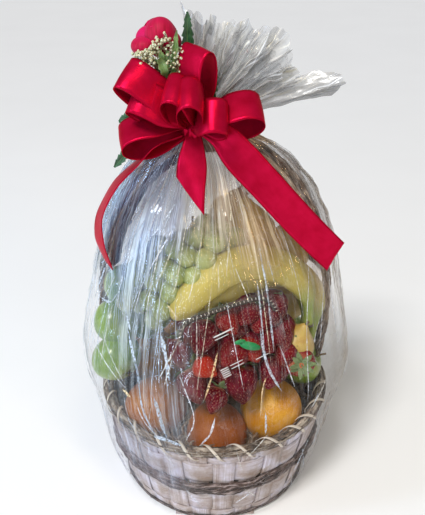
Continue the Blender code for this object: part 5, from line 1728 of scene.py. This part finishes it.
def spray(flowers, twigs):
    """Baby's breath: fine forked stems that end in small cream flowers."""
    pile, stems = Pile(), Pile()
    draw = random.Random(23)
    start = Vector(SPRIG_CENTRE) + Vector((0.009, 0.001, -0.016))
    foot = STEM_FOOT + Vector((0.0043, 0, 0.0065))
    sweep(stems, stem_line(start, foot, 0.035), 0.0010, 6, 0.5, 0.1, 2)
    hubs = []
    for k in range(19):
        way = Vector((draw.uniform(-1.2, 1.0), draw.uniform(-0.5, 0.25), draw.uniform(0.0, 1.1))).normalized()
        hub = start + Vector((way.x * 0.027, way.y * 0.010, way.z * 0.028)) * draw.uniform(0.7, 1.15)
        curve = np.outer(np.sin(np.linspace(0, np.pi, 10)), (0.002 * math.sin(k), -0.001, 0))
        sweep(stems, straight(start, hub, 10) + curve, 0.0006, 5, draw.random(), 0, k)
        hubs.append(hub)
    for k in range(280):
        hub = hubs[k % len(hubs)]
        away = Vector((draw.gauss(0, 1), draw.gauss(0, 0.55), draw.gauss(0.35, 0.9)))
        spot = hub + away.normalized() * draw.uniform(0.004, 0.0120)
        spot.x = min(-0.0330, max(-0.0925, spot.x))
        spot.y = min(-0.0400, max(-0.0580, spot.y))
        top = np.interp(spot.x, (-0.093, -0.070, -0.060, -0.052, -0.040), (0.593, 0.597, 0.611, 0.615, 0.600))
        spot.z = min(top - draw.uniform(0, 0.004), max(0.5620, spot.z))
        flower_ball(pile, spot, draw.uniform(0.0009, 0.0016), k * 1.37)
        sweep(stems, straight(hub, spot, 5), 0.00035, 4, draw.random(), 0, k)
    pile.piece("spray_flowers", flowers, "cream_florets", "babys_breath")
    return stems.piece("spray_stems", twigs, "stem_green")


def leaf(pile, foot, neck, tip, half_width, teeth, facing, seed):
    """A thin blade folded along its midrib, with saw teeth, on its stalk."""
    foot, neck, tip = tenths(foot), tenths(neck), tenths(tip)
    share = np.linspace(0, 1, teeth * 6 + 1)[:, None]
    across = np.linspace(-1, 1, 9)
    along = unit(tip - neck)
    side = unit(np.cross(along, facing))
    normal = np.cross(side, along)
    wide = half_width * np.sin(np.pi * (0.08 + 0.905 * share)) ** 0.62 * (1 - 0.34 * ((share * teeth) % 1.0))
    middle = neck + (tip - neck) * share + normal * (0.0022 * np.sin(share * 7.0 + seed))
    veins = 0.00025 * np.cos((share * teeth - np.abs(across) * 1.6) * TAU)
    rise = 0.28 * half_width * np.abs(across) + veins + 0.0006 * np.sin(across * 3 + share * 9)
    sheet = middle[:, None] + side * (np.maximum(0.0006, wide) * across)[..., None] + normal * rise[..., None]
    half = normal * 0.00022
    local = stack(share * teeth, np.concatenate([across, across[::-1]]), seed)
    loft(pile, np.concatenate([sheet + half, (sheet - half)[:, ::-1]], axis=1), local, 0.5)
    rib = np.concatenate([np.linspace(foot, neck, 8, endpoint=False), middle[::3]])
    taper = np.concatenate([np.full(8, 0.0010), np.linspace(0.0009, 0.0003, len(middle[::3]))])
    sweep(pile, rib, taper, 6, 0.9, 0, seed)


def leaf_finish(name, dark, pale):
    n = Nodes(name)
    local, place = n.local(), n.place()
    parts = n.split(local)
    slant = n.minus(parts["X"], n.times(n.size(parts["Y"]), 1.6))
    vein = n.size(n.minus(n.maths("FRACT", slant), 0.5))
    lines = n.fade(vein, 0.12, 0.0)
    midrib = n.fade(n.size(parts["Y"]), 0.10, 0.0)
    clouds = n.noise(place, 120.0, 3.0)
    colour = n.ramp(clouds, (0.35, dark), (0.65, pale))
    marks = n.most(n.times(lines, 0.35), n.times(midrib, 0.6))
    colour = n.mix(marks, colour, (0.16, 0.30, 0.10))
    return n.finish(colour, 0.38, n.bump(n.plus(clouds, lines), 0.2, 0.0006), Coat_Weight=0.15)


def leaves():
    """Four dark leaves, each with its foot, the start of its blade, its tip, half width, teeth and facing."""
    dark = leaf_finish("leaf_dark", (0.010, 0.065, 0.022), (0.030, 0.125, 0.045))
    for seed, (name, *shape) in enumerate((
        ("leaf_upright", (-245, -290, 5095), (-275, -285, 5600), (-300, -270, 6320),
         0.0076, 9, (0.3, -1, 0.2)),
        ("leaf_behind_bow", (-150, -290, 5050), (-110, -280, 5210), (-10, -260, 5800),
         0.009, 8, (0.1, -1, 0.2)),
        ("leaf_left", (-382, -280, 5275), (-700, -270, 5270), (-1070, -260, 5140),
         0.009, 6, (0.0, -1, 0.5)),
        ("leaf_lower_left", (-376, -265, 5240), (-760, -245, 5050), (-1160, -260, 4600),
         0.0075, 7, (0.0, -1, 0.4)),
    )):
        pile = Pile()
        leaf(pile, *shape, seed + 1)
        pile.piece(name + "_blade", dark, "leaf_green", name)
    young = leaf_finish("leaf_young", (0.060, 0.13, 0.030), (0.20, 0.31, 0.10))
    pile = Pile()
    leaf(pile, (-440, -470, 5700), (-440, -480, 5820), (-390, -470, 6165), 0.0034, 4, (0.2, -1, 0.2), 11)
    leaf(pile, (-500, -500, 5600), (-515, -535, 5710), (-570, -560, 5920), 0.0052, 4, (0.2, -1, 0.5), 12)
    leaf(pile, (-470, -500, 5560), (-450, -540, 5660), (-420, -560, 5820), 0.0036, 4, (0.0, -1, 0.5), 13)
    for seed, (x, z, half_width) in enumerate(((-660, 5900, 0.0048), (-585, 5980, 0.0044), (-500, 5960, 0.0050),
                                               (-400, 5900, 0.0046))):
        foot, neck = (blend(-450, x, 0.15), -445, 5580), (blend(-450, x, 0.35), -445, 5670)
        leaf(pile, foot, neck, (x, -440, z), half_width, 4, (0.3 * math.sin(seed * 2), -1, 0.3), seed + 21)
    return pile.piece("young_leaves", young, "leaf_green")


# Stage


def look_at(thing, target):
    way = Vector(target) - thing.location
    thing.rotation_euler = way.to_track_quat("-Z", "Y").to_euler()


def lamp(name, kind, place, target, power, colour, **settings):
    data = bpy.data.lights.new(name, kind)
    data.energy, data.color = power, colour
    for key, value in settings.items():
        setattr(data, key, value)
    look_at(put(name, data, place), target)


def floor():
    mesh = bpy.data.meshes.new("floor")
    far = 12.0
    mesh.from_pydata([(-far, -far, 0), (far, -far, 0), (far, far, 0), (-far, far, 0)], [], [(0, 1, 2, 3)])
    n = Nodes("floor")
    colour = n.ramp(n.noise(n.place(), 3.0, 2.0), (0.3, (0.93, 0.93, 0.935)), (0.7, (0.95, 0.95, 0.955)))
    mesh.materials.append(n.finish(colour, 0.9))
    thing = put("floor", mesh, (0, 0, -0.0003))


def stage():
    scene = bpy.context.scene
    floor()
    scene.world = bpy.data.worlds.new("studio")
    scene.world.use_nodes = True
    back = scene.world.node_tree.nodes["Background"]
    back.inputs["Color"].default_value = (0.90, 0.94, 1.0, 1)
    back.inputs["Strength"].default_value = 0.31
    lamp("sun", "SUN", (-0.55, -0.80, 1.35), (0, 0, 0), 2.0, (1.0, 0.985, 0.96), angle=math.radians(14))
    for name, place, size, power, colour in (
        ("window_left", (-1.6, -0.5, 0.95), (0.16, 1.2), 11.0, (0.62, 0.79, 1.0)),
        ("window_front", (-0.8, -1.7, 0.7), (0.10, 0.9), 5.0, (0.70, 0.84, 1.0)),
        ("lamp_right", (0.8, -1.2, 1.1), (0.06, 0.5), 2.5, (1.0, 0.76, 0.38)),
        ("lamp_high", (0.2, -0.6, 1.8), (0.25, 0.10), 3.0, (1.0, 0.84, 0.50)),
    ):
        lamp(name, "AREA", place, (0, 0, 0.28), power, colour, shape="RECTANGLE", size=size[0], size_y=size[1])
    data = bpy.data.cameras.new("camera")
    data.lens = CAMERA_LENS
    data.sensor_width = 36
    scene.camera = put("camera", data, CAMERA_PLACE)
    look_at(scene.camera, CAMERA_TARGET)
    scene.view_settings.view_transform = "Standard"
    scene.cycles.transparent_max_bounces = 64


def build():
    stage()
    basket_body(chip_finish())
    twig_band(bark_finish("dark_twig", (0.018, 0.010, 0.008), (0.085, 0.052, 0.042), (0.34, 0.27, 0.26), 0.66))
    twig_rim(bark_finish("bark_rim", (0.030, 0.018, 0.011), (0.17, 0.112, 0.075), (0.52, 0.44, 0.36)))
    raffia(raffia_finish())
    vine_handle(bark_finish("vine", (0.03, 0.018, 0.012), (0.15, 0.098, 0.068), (0.46, 0.37, 0.31)))
    dark_vines(bark_finish("dark_vine", (0.008, 0.006, 0.008), (0.030, 0.022, 0.026), (0.16, 0.13, 0.13), 0.74))
    pale_cane(bark_finish("pale_cane", (0.26, 0.18, 0.13), (0.56, 0.46, 0.38), (0.74, 0.66, 0.58), 0.58))
    dry = simple_finish("dry_brown", (0.08, 0.050, 0.022), (0.20, 0.13, 0.06), 400.0, 0.8)
    citrus(citrus_finish())
    green_fruit(green_finish(), dry)
    pears(pear_finish(), dry)
    stalk = simple_finish("grape_stem", (0.16, 0.18, 0.05), (0.34, 0.30, 0.12), 400.0, 0.7)
    grapes(grape_finish(), stalk)
    bananas(banana_finish())
    berries()
    tub(clear_finish("clear_tub", (0.92, 0.94, 0.95), 0.007))
    tub_print(simple_finish("print_white", (0.60, 0.58, 0.58), (0.72, 0.70, 0.70), 700.0, 0.5, 0.1),
              simple_finish("print_green", (0.004, 0.20, 0.05), (0.010, 0.28, 0.08), 700.0, 0.5, 0.1))
    filler(simple_finish("paper_filler", (0.10, 0.065, 0.040), (0.30, 0.21, 0.135), 90.0, 0.85, 0.5))
    film_skin(film_finish("film"))
    film_folds_painted_glints(fold_glint_finish())
    film_fan(film_finish("film_fan", True))
    bow(satin_finish())
    rose(rose_finish())
    rose_stem(simple_finish("stem_green", (0.06, 0.13, 0.03), (0.16, 0.27, 0.07), 300.0, 0.55))
    spray(spray_finish(), simple_finish("spray_stem", (0.13, 0.15, 0.05), (0.28, 0.20, 0.12), 500.0, 0.7))
    leaves()


build()
